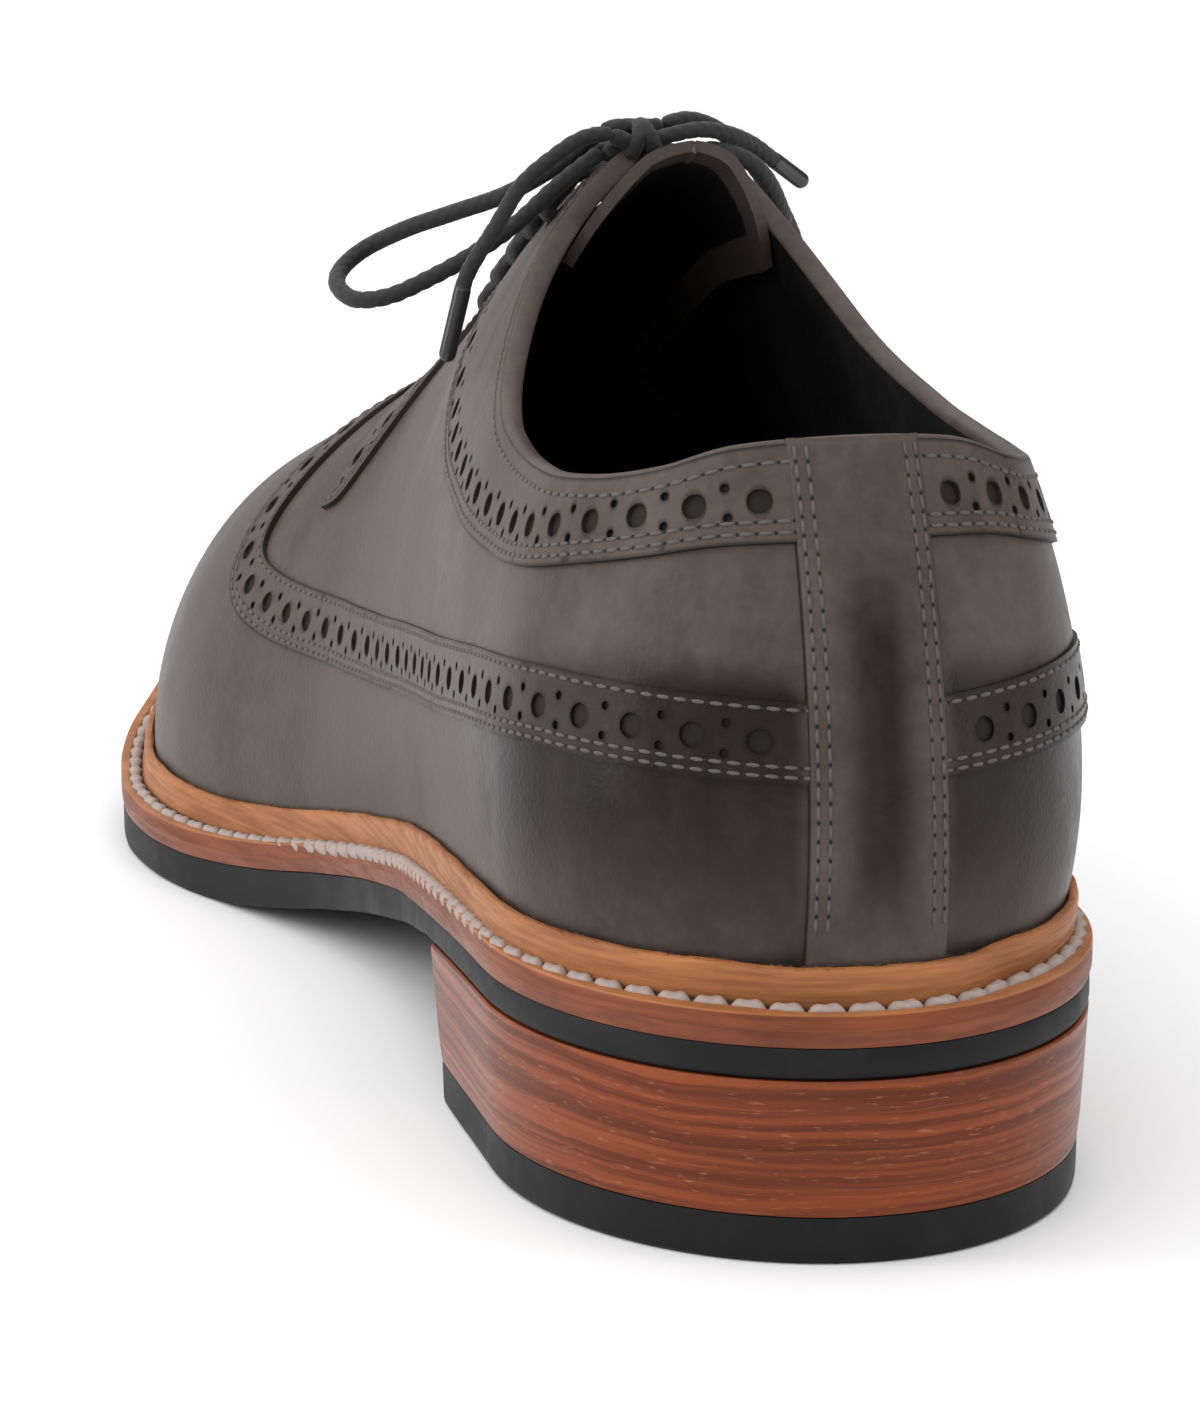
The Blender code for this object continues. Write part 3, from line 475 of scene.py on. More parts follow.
def reshape(piece, *operators):
    """Runs edit mode operators, each with its settings, on all of a piece."""
    bpy.ops.object.select_all(action="DESELECT")
    bpy.context.view_layer.objects.active = piece
    piece.select_set(True)
    bpy.ops.object.mode_set(mode="EDIT")
    for operator, settings in operators:
        bpy.ops.mesh.select_all(action="SELECT")
        operator(**settings)
    bpy.ops.object.mode_set(mode="OBJECT")


def face_out(piece):
    reshape(piece, (bpy.ops.mesh.normals_make_consistent, {"inside": False}))


def turn_over(piece):
    reshape(piece, (bpy.ops.mesh.flip_normals, {}))


def sheet(name, rows, material, closed=False):
    """A grid of leather shaped to rows of points in millimetres. closed joins its first and last column."""
    tall, wide = rows.shape[:2]
    bpy.ops.object.select_all(action="DESELECT")
    bpy.ops.mesh.primitive_grid_add(x_subdivisions=wide - 1, y_subdivisions=tall - 1)
    made = bpy.context.object
    made.name = made.data.name = name
    rows = (rows + TO_FRAME) * MM
    made.data.vertices.foreach_set("co", np.ascontiguousarray(rows, np.float32).ravel())
    if closed:
        reshape(made, (bpy.ops.mesh.remove_doubles, {"threshold": 1e-6}))
    bpy.ops.object.shade_smooth()
    made.data.materials.append(material)
    return made


# The skin follows the last in columns from heel to toe on one side and back on the other, closer at the throat
COLUMNS = (np.linspace(0, 1, 241), station(np.linspace(104, 118, 29)), station(np.linspace(180, 188, 17)))
COLUMNS = np.unique(np.concatenate(COLUMNS))
RISE = np.linspace(0, 1, 73)
SKIN_LOW = 0.12
SKIN_HIGH = 0.5


def skin_lift(side, q, v):
    """The quarter lies on the vamp, under the band."""
    low, top = climb_to(side, q, "band_low")[:, None], climb_to(side, q, "band_top")[:, None]
    y = foot(side, q)[1][:, None]
    share = np.clip((v - low) / np.maximum(top - low, 1e-3), 0, 1) * np.clip((204 - y) / 6, 0, 1)
    return SKIN_LOW + (SKIN_HIGH - SKIN_LOW) * share


def loop_rows(offset, shares):
    """Rows of points round both sides, from the foot to the top edge."""
    halves = []
    for side in (-1, 1):
        v = shares[None] * top_line(side, COLUMNS)[:, None]
        out = offset(side, COLUMNS, v)
        halves.append(off_last(side, np.broadcast_to(COLUMNS[:, None], v.shape), v, np.broadcast_to(out, v.shape)))
    return np.concatenate([halves[0], halves[1][::-1][1:]]).transpose(1, 0, 2)


skin = sheet("upper_skin", loop_rows(skin_lift, RISE), calf, closed=True)
face_out(skin)
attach(skin, "root")
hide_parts("upper")

# Lining and rolled edge. Black calf lines the inside; at the collar and down the throat the outer leather is
# skived, folded over and stitched to it, so the edge is a soft round.


def plain_leather(name, colour, rough, level=0.5):
    made, tree, _, height, mottle = grained(name)
    colour = blend(tree, mottle, tuple(c * 0.62 for c in colour), colour)
    finish(tree, colour, span(tree, mottle, 0.0, 1.0, rough - 0.08, rough + 0.06), height, level=level)
    return made


COLLAR_OUT = 1.25
black_lining = plain_leather("black_lining", (0.016, 0.014, 0.014), 0.55)
lining_rows = loop_rows(lambda side, q, v: -WALL, np.linspace(0, 1, 31))
lining = sheet("lining", lining_rows, black_lining, closed=True)
turn_over(lining)
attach(lining, "root")

THROAT_Q = float(station(186))
halves = []
for side in (-1, 1):
    q = COLUMNS[COLUMNS <= THROAT_Q]
    v = top_line(side, q)
    place, normal = last(side, q, v), out_of(side, q, v)
    up = slopes(side, q, v)[1]
    up /= np.linalg.norm(up, axis=-1, keepdims=True)
    turn = np.linspace(0, math.pi, 11)[:, None, None]
    centre, half = (COLLAR_OUT - WALL) / 2, (COLLAR_OUT + WALL) / 2
    fade = np.clip((THROAT_Q - q) / 0.01, 0, 1)[None, :, None]
    roll = place + normal * (centre + half * np.cos(turn)) + up * np.sin(turn) * (0.9 * fade)
    halves.append(roll)
rolled = sheet("rolled_edge", np.concatenate([halves[0][:, ::-1], halves[1][:, 1:]], axis=1), calf)
face_out(rolled)
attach(rolled, "root")

# Brogued panels. The long wing's band, the collar with its facings, and the strip down the back are separate
# pieces of the same calf, punched, laid over the quarters and sewn down with double rows.

def axes(side, q, v):
    """Unit directions round and up the last, mm moved for a step of q and of v, and v's slant along the first."""
    dq, dv = slopes(side, q, v)
    wide = np.linalg.norm(dq, axis=-1)
    e1 = dq / wide[..., None]
    slant = (dv * e1).sum(-1)
    e2 = dv - e1 * slant[..., None]
    tall = np.linalg.norm(e2, axis=-1)
    return e1, e2 / tall[..., None], wide, tall, slant


def move(side, q, v, a, b):
    """Walks a mm round the shoe and b mm up it, along its surface."""
    _, _, wide, tall, slant = axes(side, q, v)
    return q + (a - b / tall * slant) / wide, v + b / tall


def steps_of(side, line):
    """Direction of a line of (q, v) in mm round and mm up, at each of its points."""
    q, v = line.T
    _, _, wide, tall, slant = axes(side, q, np.clip(v, 0, 1))
    gq, gv = np.gradient(q), np.gradient(v)
    run = np.stack([gq * wide + gv * slant, gv * tall], -1)
    return run / np.linalg.norm(run, axis=1, keepdims=True)


def beside(side, line, width):
    """A line this many mm to the left of another."""
    run = steps_of(side, line)
    return np.stack(move(side, line[:, 0], line[:, 1], -run[:, 1] * width, run[:, 0] * width), -1)


def run_of(points):
    """How far along a line of points each of them lies."""
    return np.concatenate([[0], np.cumsum(np.linalg.norm(np.diff(points, axis=0), axis=1))])


def points_at(line, run, at):
    return np.stack([np.interp(at, run, values) for values in line.T], -1)


def even(side, line, pitch, start=0.0):
    """Points along a line at this pitch in mm."""
    fine = np.concatenate([np.linspace(a, b, 6, endpoint=False) for a, b in zip(line, line[1:])] + [line[-1:]])
    run = run_of(last(side, fine[:, 0], np.clip(fine[:, 1], 0, 1)))
    return points_at(fine, run, np.arange(start, run[-1], pitch))


def soften(line, rounds):
    """Cuts the corners of a line."""
    for _ in range(rounds):
        a, b = line[:-1], line[1:]
        cut = np.stack([0.75 * a + 0.25 * b, 0.25 * a + 0.75 * b], 1).reshape(-1, 2)
        line = np.concatenate([line[:1], cut, line[-1:]])
    return line


def trim_top(outline):
    """The part of an outline at or below the ridge."""
    kept = []
    for a, b in zip(outline, np.roll(outline, -1, axis=0)):
        if a[1] <= 1:
            kept.append(a)
        if (a[1] - 1) * (b[1] - 1) < 0:
            kept.append(a + (b - a) * (1 - a[1]) / (b[1] - a[1]))
    return np.array(kept)


# The leather is cut flat: distance round the shoe at mid height across, share of the section's height up
ROUND_Q = np.linspace(0, 1, 401)
ROUND_MM = run_of(last(-1, ROUND_Q, 0.4))
RISE_MM = 110.0


def flatten(points):
    return np.stack([np.interp(points[:, 0], ROUND_Q, ROUND_MM), points[:, 1] * RISE_MM], -1)


def unflatten(flat):
    return np.stack([np.interp(flat[:, 0], ROUND_MM, ROUND_Q), flat[:, 1] / RISE_MM], -1)


def inside(points, outline):
    x, y = points[:, 0, None], points[:, 1, None]
    a, b = outline, np.roll(outline, -1, axis=0)
    crosses = (a[:, 1] > y) != (b[:, 1] > y)
    at = a[:, 0] + (y - a[:, 1]) * (b[:, 0] - a[:, 0]) / np.where(b[:, 1] == a[:, 1], 1e-9, b[:, 1] - a[:, 1])
    return (crosses & (x < at)).sum(1) % 2 == 1


def away_from(points, outline):
    """Distance of each point from a closed outline."""
    a, b = outline, np.roll(outline, -1, axis=0)
    run = b - a
    share = ((points[:, None] - a) * run).sum(-1) / np.maximum((run * run).sum(-1), 1e-12)
    near = a + np.clip(share, 0, 1)[..., None] * run
    return np.linalg.norm(points[:, None] - near, axis=-1).min(1)

def mark_points(mesh, name, values):
    """A value for each point, which a material reads."""
    mesh.attributes.new(name, "FLOAT", "POINT").data.foreach_set("value", np.asarray(values, np.float32))


def piece_of(name, points, faces, material):
    """A piece from points in millimetres and faces."""
    mesh = bpy.data.meshes.new(name)
    mesh.from_pydata(((np.asarray(points) + TO_FRAME) * MM).tolist(), [], faces)
    made = bpy.data.objects.new(name, mesh)
    bpy.context.collection.objects.link(made)
    made.data.materials.append(material)
    return made


def thicken(piece, thick):
    """Gives a sheet its thickness inward, in millimetres."""
    solid = piece.modifiers.new("thickness", "SOLIDIFY")
    solid.thickness = thick * MM
    solid.offset = -1
    bpy.ops.object.modifier_apply(modifier="thickness")


GRID = 1.3
CLEAR_OF_HOLE = 0.95
COLLAR_OF_HOLE = 0.5


def cut_leather(name, side, outline, holes, out, material, thick=0.75):
    """A panel cut to an outline of (q, v), with round holes (q, v, radius) punched through it."""
    loops = [flatten(outline)]
    for q, v, radius in holes:
        count = 16 if radius > 0.9 else 8
        turn = np.arange(count) * 2 * math.pi / count
        ring = move(side, np.full(count, q), np.full(count, v), radius * np.cos(turn), radius * np.sin(turn))
        loops.append(flatten(np.stack(ring, -1)))
    low, high = loops[0].min(0), loops[0].max(0)
    fill = np.stack(np.meshgrid(*(np.arange(a, b, GRID) for a, b in zip(low, high))), -1).reshape(-1, 2)
    fill = fill[inside(fill, loops[0])]
    fill = fill[away_from(fill, loops[0]) > GRID * 0.35]
    for ring in loops[1:]:
        reach = np.linalg.norm(ring - ring.mean(0), axis=1)
        fill = fill[np.linalg.norm(fill - ring.mean(0), axis=1) > reach.max() + CLEAR_OF_HOLE]
    if holes:
        collars = []
        for ring in loops[1:]:
            reach = np.linalg.norm(ring - ring.mean(0), axis=1)[:, None]
            collars.append(ring.mean(0) + (ring - ring.mean(0)) * ((reach + COLLAR_OF_HOLE) / reach))
        collars = np.concatenate(collars)
        collars = collars[inside(collars, loops[0])]
        fill = np.concatenate([fill, collars[away_from(collars, loops[0]) > 0.3]])
    edges, start = [], 0
    for loop in loops:
        edges += [(start + i, start + (i + 1) % len(loop)) for i in range(len(loop))]
        start += len(loop)
    points = [Vector(p) for p in np.concatenate([*loops, fill])]
    flat, _, faces, *_ = delaunay_2d_cdt(points, edges, [], 0, 1e-5)
    flat = np.array([tuple(p) for p in flat])
    faces = np.array([f for f in faces if len(f) == 3])
    centres = flat[faces].mean(1)
    keep = inside(centres, loops[0])
    gap = away_from(flat, loops[0])
    for ring in loops[1:]:
        near = np.linalg.norm(centres - ring.mean(0), axis=1) < 12
        keep[near] &= ~inside(centres[near], ring)
        radius = np.linalg.norm(ring - ring.mean(0), axis=1).mean()
        gap = np.minimum(gap, np.abs(np.linalg.norm(flat - ring.mean(0), axis=1) - radius))
    q, v = np.clip(unflatten(flat).T, 0, 1)
    made = piece_of(name, off_last(side, q, v, out), faces[keep].tolist(), material)
    mark_points(made.data, "edge", np.clip(gap, 0, 5))
    reshape(made, (bpy.ops.mesh.delete_loose, {}), (bpy.ops.mesh.normals_make_consistent, {"inside": False}))
    shown = made.data.polygons[0]
    spot = np.array([made.data.vertices[i].co for i in shown.vertices]).mean(0)
    if np.dot(np.array(shown.normal), spot - np.array([0.0, spot[1], 0.04])) < 0:
        turn_over(made)
    if thick:
        thicken(made, thick)
    bpy.ops.object.shade_smooth_by_angle(angle=math.radians(35))
    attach(made, "root")
    return made


def stitch_shape():
    """One stitch: a thread that rises, lies and dips again, 1 mm long."""
    bpy.ops.object.select_all(action="DESELECT")
    bpy.ops.mesh.primitive_uv_sphere_add(segments=6, ring_count=4, radius=0.5)
    made = bpy.context.object
    rest = np.empty(len(made.data.vertices) * 3, np.float32)
    made.data.vertices.foreach_get("co", rest)
    rest = rest.reshape(-1, 3)[:, [2, 0, 1]]
    faces = [tuple(f.vertices) for f in made.data.polygons]
    bpy.data.objects.remove(made)
    return rest, faces


STITCH, STITCH_FACES = stitch_shape()


def copies(name, shape, faces, spots, runs, normals, sizes, material):
    """One modelled shape copied to many places: its length along runs and its height along normals."""
    across = np.cross(normals, runs)
    across /= np.linalg.norm(across, axis=1, keepdims=True)
    ways = np.stack([np.cross(across, normals), across, normals], 1)
    points = spots[:, None] + np.einsum("pk,skd->spd", shape * np.array(sizes), ways)
    count = len(shape)
    every = [tuple(i * count + k for k in f) for i in range(len(spots)) for f in faces]
    made = piece_of(name, points.reshape(-1, 3), every, material)
    made.data.shade_smooth()
    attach(made, "root")
    return made


def plain_stuff(name, colour, rough):
    made, tree, place = bare_material(name)
    cloud = noise(tree, place, 700.0, 3.0)
    finish(tree, blend(tree, cloud, tuple(c * 0.6 for c in colour), colour), rough)
    return made


grey_thread = plain_stuff("grey_thread", (0.098, 0.076, 0.065), 0.6)
# Stitch holes are drawn as flat near-black discs on the leather: painted shade inside the holes
stitch_hole_shade = plain_stuff("stitch_hole_shade", (0.008, 0.007, 0.007), 0.9)
HEX = np.array([[math.cos(a), math.sin(a), 0] for a in np.arange(6) * math.pi / 3]) * 0.5
sewn, pinhole_shade_spots = [], []


def sew(side, line, lift, pitch=2.2):
    """Adds a row of stitches along a line, with a hole between each two, drawn as a flat dark disc of painted shade.
    """
    spots = even(side, line, pitch / 2, pitch / 2)
    spots = spots[spots[:, 1] < 0.995]
    run = steps_of(side, spots)
    e1, e2, *_ = axes(side, *spots.T)
    heading = e1 * run[:, :1] + e2 * run[:, 1:]
    normal = out_of(side, *spots.T)
    place = last(side, *spots.T) + normal * lift
    sewn.append((place[::2], heading[::2], normal[::2]))
    pinhole_shade_spots.append((place[1::2] + normal[1::2] * 0.03, heading[1::2], normal[1::2]))


def recolour(made, mark, colour, *limits):
    """Mixes a colour into a material where the piece's own values say."""
    tree = made.node_tree
    socket = tree.nodes["Principled BSDF"].inputs["Base Color"]
    share = span(tree, node(tree, "ShaderNodeAttribute", attribute_name=mark).outputs["Fac"], *limits)
    tree.links.new(blend(tree, share, socket.links[0].from_socket, colour), socket)
    return made


# The panels' calf is darker where cut edges and the rims of holes took the wax
panel_calf = recolour(upper_leather("panel_calf"), "edge", BURNT, 0.0, 0.55, 0.85, 0.0)
# Under each punched panel lies a darker sheet, seen through its holes and as a thin line along its edges: painted
# shade for the depth of the holes and painted shadow under the panel's edges
hole_shade_sheet = plain_leather("hole_shade_calf", (0.024, 0.019, 0.0165), 0.6, 0.1)
BAND_HALF = 4.75
BAND_OUT = 1.0
STRIP_OUT = 1.6
SMALL = 0.55
BIG = 1.5
EYELET = 2.0
EYELET_IN = 6.5
EYELET_ROWS = (121.0, 133.0, 145.0, 157.0, 169.0)


def strip_edge(v, half_foot=8.7, half_top=7.9):
    """q of the back strip's edge at each v."""
    q = np.linspace(0, 0.3, 601)
    found = []
    for height in np.atleast_1d(v):
        half = half_foot + (half_top - half_foot) * min(height / 0.6, 1)
        x = -(last(-1, q, height)[:, 0] - last(-1, 0, height)[0])
        found.append(float(np.interp(half, np.maximum.accumulate(x), q)))
    return np.array(found)


# Where the band turns up the vamp: foot place and height of its middle line
TURN = table("""
y      z
188    44.4
193    44.6
199    45.4
204    47.2
207.5  50.2
209.3  54.5
209.3  59.5
208.0  65.0
205.5  70.5
202.0  75.5
""")


def at_height(side, y, z):
    v = np.linspace(0, 1, 241)
    q = float(station(y))
    return q, float(np.interp(z, np.maximum.accumulate(last(side, q, v)[:, 2]), v))


def from_strip(end, count):
    """Stations from under the back strip to this Y."""
    return np.linspace(float(strip_edge(0.5)[0]) * 0.7, float(station(end)), count)


def band_line(side):
    q = from_strip(184, 110)
    v = (climb_to(side, q, "band_low") + climb_to(side, q, "band_top")) / 2
    first = np.stack([q, v], -1)
    turn = np.array([at_height(side, a, b) for a, b in zip(TURN["y"], TURN["z"])])
    peak = np.array([[float(station(197.5)), 1.0], [float(station(194.5)), 1.06]])
    return soften(np.concatenate([first, turn, peak]), 3)


def punched(side, line, pitch, start, across):
    """Big holes along a line with a pair of small ones between each two."""
    big = even(side, line, pitch, start)
    small = even(side, line, pitch, start + pitch / 2)
    run = steps_of(side, small)
    holes = [(q, v, BIG) for q, v in big if v < 0.975]
    for sign in (-1, 1):
        q, v = move(side, small[:, 0], small[:, 1], -run[:, 1] * across * sign, run[:, 0] * across * sign)
        holes += [(a, b, SMALL) for a, b in zip(q, v) if b < 0.985]
    return holes


for side, word in ((-1, "lateral"), (1, "medial")):
    line = even(side, band_line(side), 1.2)
    edges = [beside(side, line, w) for w in (BAND_HALF, -BAND_HALF)]
    outline = trim_top(np.concatenate([edges[0], edges[1][::-1]]))
    holes = punched(side, line, 8.0, 7.0, 1.75)
    band = cut_leather(f"wing_band_{word}", side, outline, holes, BAND_OUT, panel_calf)
    for width in (3.85, -2.75, -3.9):
        sew(side, beside(side, line, width), BAND_OUT)
    under = cut_leather(f"band_hole_shade_{word}", side, outline, [], BAND_OUT - 0.5, hole_shade_sheet, 0)

    q = from_strip(188, 150)
    low = even(side, soften(np.stack([q, climb_to(side, q, "collar")], -1), 2), 1.5)
    top = even(side, np.stack([q, top_line(side, q)], -1)[::-1], 1.5)
    outline = np.concatenate([low, top])
    rows = station(EYELET_ROWS)
    rises = climb_near(side, rows, along(OPENING, "gap", EYELET_ROWS) + EYELET_IN)
    eyelets = [(float(a), float(b), EYELET) for a, b in zip(rows, rises)]
    centres = flatten(np.stack([rows, rises], -1))
    holes = punched(side, beside(side, low, 5.0), 7.7, 6.0, 1.8)
    holes = [h for h in holes if np.linalg.norm(centres - flatten(np.array([h[:2]])), axis=1).min() > h[2] + 2.9]
    collar = cut_leather(f"collar_facing_{word}", side, outline, holes + eyelets, COLLAR_OUT, panel_calf)
    under = cut_leather(f"collar_hole_shade_{word}", side, outline, eyelets, COLLAR_OUT - 0.55, hole_shade_sheet, 0)
    for width in (1.15, 2.5):
        sew(side, beside(side, low, width), COLLAR_OUT)
    sew(side, beside(side, top, 2.2), COLLAR_OUT)

# The back strip is one tapering piece over both quarters
ends = {side: float(top_line(side, np.array([0.002]))[0]) for side in (-1, 1)}
heights = np.linspace(0.03, 1, 60) * ends[-1]
shares = np.linspace(-1, 1, 33)
fall = 0.75 * np.clip((np.abs(shares) - 0.9) / 0.1, 0, 1) ** 2
rows = [
    [off_last(-1 if a < 0 else 1, abs(a) * edge_q, v, STRIP_OUT - d) for a, d in zip(shares, fall)]
    for v, edge_q in zip(heights, strip_edge(heights))
]
back_strip = sheet("back_strip", np.array(rows), panel_calf)
mark_points(back_strip.data, "edge", np.tile((1 - np.abs(shares)) * 8.3, len(heights)))
face_out(back_strip)
thicken(back_strip, 0.7)
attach(back_strip, "root")
for side in (-1, 1):
    v = np.linspace(0.1, ends[side] - 0.012, 60)
    q = strip_edge(v)
    for inner in (1.15, 2.5):
        sew(side, np.stack([q - inner / axes(side, q, v)[2], v], -1), STRIP_OUT)

sewn = [np.concatenate(part) for part in zip(*sewn)]
pinhole_shade_spots = [np.concatenate(part) for part in zip(*pinhole_shade_spots)]
row_stitches = copies("row_stitches", STITCH, STITCH_FACES, *sewn, (1.8, 0.58, 0.42), grey_thread)
row_pinhole_shade = copies("row_pinhole_shade", HEX, [(0, 1, 2, 3, 4, 5)], *pinhole_shade_spots, (0.5, 0.5, 0), stitch_hole_shade)

# Storm welt. A strip of vegetable-tanned leather runs right round; its raised lip leans on the upper, and thick
# twisted thread sews its flange down through the midsole. Lip and flange are tan, its trimmed side is stained.


def soles(name, y):
    return along(SOLE, name, y)


def seat(y):
    return soles("top", y) - WELT_THICK


def bridge(a, b, count):
    """Faces between two loops of points that start at a and at b."""
    return [(a + k, a + (k + 1) % count, b + (k + 1) % count, b + k) for k in range(count)]


def ring_solid(name, loops, material, capped=True, crease_shade_and_stain_marks=None):
    """A solid or a ring from closed loops, each bridged to the next; the last returns to the first if uncapped."""
    count, total = len(loops[0]), len(loops)
    faces = sum((bridge(i * count, (i + 1) % total * count, count) for i in range(total - capped)), [])
    if capped:
        faces += [tuple(range(count)), tuple(range((total - 1) * count, total * count))]
    made = piece_of(name, np.concatenate(loops), faces, material)
    if crease_shade_and_stain_marks:
        mark_points(made.data, "side", np.repeat(crease_shade_and_stain_marks, count))
    face_out(made)
    bpy.ops.object.shade_smooth_by_angle(angle=math.radians(38))
    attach(made, "root")
    return made


def stained_leather(name, light, dark, rough, coat, lines, tint=None):
    """Undyed or stained sole leather, with its fibres lying along the layers. tint is a trimmed side's stain; with a
    tint, rows marked below zero also get painted shade.
    """
    made, tree, place = bare_material(name)
    fibre = stretched(tree, place, lines, 5.0, 0.65)
    slow = span(tree, noise(tree, place, 45.0, 4.0), 0.3, 0.7, 0.0, 0.3)
    share = maths(tree, "ADD", span(tree, fibre, 0.3, 0.7, 0.0, 0.7), slow)
    colour = blend(tree, share, dark, light)
    if tint:
        mark = node(tree, "ShaderNodeAttribute", attribute_name="side").outputs["Fac"]
        # Painted shade: near black where the piece's marks are below zero, in the crease between the welt's lip and
        # its flange
        colour = blend(tree, span(tree, mark, -0.1, -0.9, 0.0, 0.9), colour, (0.05, 0.018, 0.008))
        trimmed = blend(tree, share, tuple(c * 0.5 for c in tint), tint)
        colour = blend(tree, span(tree, mark, 0.3, 0.7), colour, trimmed)
    rough = span(tree, share, 0.0, 1.0, rough + 0.1, rough - 0.05)
    finish(tree, colour, rough, fibre, (0.5, 0.00012), 0.25, (coat, 0.22))
    return made


EDGE_STAIN = (0.235, 0.058, 0.018)
welt_tan = stained_leather(
    "welt_tan", (0.41, 0.160, 0.054), (0.22, 0.076, 0.024), 0.5, 0.05, (70, 70, 1300), EDGE_STAIN
)
# The lip: mm above the welt and mm off the last, from its foot over its top and down to the crease
LIP = (
    (2.3, 0.3), (4.5, 0.3), (4.8, 0.55), (4.85, 0.95), (4.65, 1.35), (4.2, 1.6), (2.6, 1.85), (1.0, 2.1), (0.25, 2.35)
)
TORN = (2, 3, 4)
# Across the flange: mm out from the lip, or in from the edge where not above zero, and mm below the top
FLANGE = ((0.5, 0.8), (1.3, 0.9), (2.2, 0.5), (2.7, 0.05), (-0.55, 0.0), (-0.15, 0.14), (0, 0.55))
OVER_STRIP = 1.45
rng = np.random.default_rng(7)
tear = np.convolve(rng.normal(0, 1, 408), np.ones(3) / 3, "same")[4:-4]
heights = np.linspace(0, 0.42, 121)
strip_q = float(strip_edge(0)[0])
halves = []
for side, qs, torn in ((-1, np.linspace(0, 1, 201), tear[:201]), (1, np.linspace(1, 0, 201)[1:-1], tear[201:])):
    zs = last(side, qs[:, None], heights[None])[..., 2]
    clear = np.clip((strip_q * 1.9 - qs) / (strip_q * 0.95), 0, 1)
    clear = OVER_STRIP * clear**2 * (3 - 2 * clear)
    top = soles("top", foot(side, qs)[1])

    def leaning(height, out):
        at = np.array([np.interp(g, z, heights) for g, z in zip(top + height, zs)])
        return off_last(side, qs, at, out + clear)

    under = leaning(0.35 - WELT_THICK, 0.3)
    under[:, 2] = seat(under[:, 1]) + 0.15
    rows = [under] + [leaning(h + (0.12 * torn if k in TORN else 0), out) for k, (h, out) in enumerate(LIP)]
    root = rows[-1]
    y_rim = spread(qs, 0, LENGTH)
    outer = np.stack([rim(side, y_rim), y_rim], -1)
    width = np.linalg.norm(outer - root[:, :2], axis=1)[:, None]
    unit = (outer - root[:, :2]) / width
    for away, drop in FLANGE:
        plan = root[:, :2] + unit * (np.minimum(away, width) if away > 0 else width + away)
        rows.append(np.column_stack([plan, soles("top", plan[:, 1]) - drop]))
    rows.append(np.column_stack([rows[-1][:, :2], seat(rows[-1][:, 1]) + 0.02]))
    halves.append(np.array(rows))
welt_rows = np.concatenate(halves, axis=1)
# Marks by row: below zero for painted shade in the crease between lip and flange, one for the trimmed side's stain
crease_shade_and_stain_marks = [0.0] * 9 + [-1.0, -1.0, -0.6] + [0.0] * 4 + [1.0, 1.0]
welt = ring_solid("storm_welt", list(welt_rows), welt_tan, False, crease_shade_and_stain_marks)
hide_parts("welt")

# Torn fibres along the lip's top edge
lip_top = welt_rows[4]
spots, runs = [], []
for _ in range(1500):
    k = int(rng.integers(0, len(lip_top)))
    step = lip_top[(k + 1) % len(lip_top)] - lip_top[k]
    spots.append(lip_top[k] + step * rng.random() + rng.normal(0, 0.15, 3))
    runs.append(step / max(np.linalg.norm(step), 1e-6) + rng.normal(0, 0.5, 3) + [0, 0, 0.3])
runs = np.array(runs) / np.linalg.norm(runs, axis=1, keepdims=True)
BLADE = np.array([[-0.5, -0.5, 0], [-0.5, 0.5, 0], [0.5, 0, 0], [0, 0, 0.5]])
BLADE_FACES = [(0, 1, 2), (0, 3, 1), (1, 3, 2), (2, 3, 0)]
upward = np.tile([0.2, 0.1, 0.97], (len(spots), 1))
fibres = copies("lip_fibres", BLADE, BLADE_FACES, np.array(spots), runs, upward, (0.9, 0.09, 0.09), welt_tan)

# Welt stitches: two strands of waxed linen twisted together, one stitch modelled and copied round the shoe
rings, around = 13, 10
twist = []
for i in range(rings):
    s = i / (rings - 1) * 2 - 1
    girth = math.sqrt(1 - abs(s) ** 3.2) if 0 < i < rings - 1 else 0.25
    for k in range(around):
        a = 2 * math.pi * k / around
        r = girth * (1 + 0.16 * math.cos(2 * (a - s * 2.6)))
        twist.append((s / 2, math.cos(a) * r / 2, (math.sin(a) * r - 0.55 * abs(s) ** 3) / 2))
twist_faces = sum((bridge((i + 1) * around, i * around, around) for i in range(rings - 1)), [])
twist_faces += [tuple(range(around)), tuple(range((rings - 1) * around, rings * around))[::-1]]
groove = welt_rows[len(LIP) + 2]
groove = np.concatenate([groove, groove[:1]]) + [0, 0, 0.55]
run = run_of(groove)
count = int(run[-1] / 4.7)
at = (np.arange(count) + 0.5) / count * run[-1]
spots, ahead = points_at(groove, run, at), points_at(groove, run, (at + 1.5) % run[-1])
runs = (ahead - spots) / np.linalg.norm(ahead - spots, axis=1, keepdims=True)
linen = plain_stuff("waxed_linen", (0.42, 0.335, 0.30), 0.5)
upward = np.tile([0.0, 0.0, 1.0], (count, 1))
big_stitches = copies("welt_stitches", np.array(twist), twist_faces, spots, runs, upward, (4.75, 2.1, 1.9), linen)
face_out(big_stitches)

# Midsole, rubber sole and heel. The leather midsole's edge is trimmed flush with the welt and stained; the heel
# is built of stacked lifts of sole leather, nailed, rasped, stained and polished, on a rubber top lift.


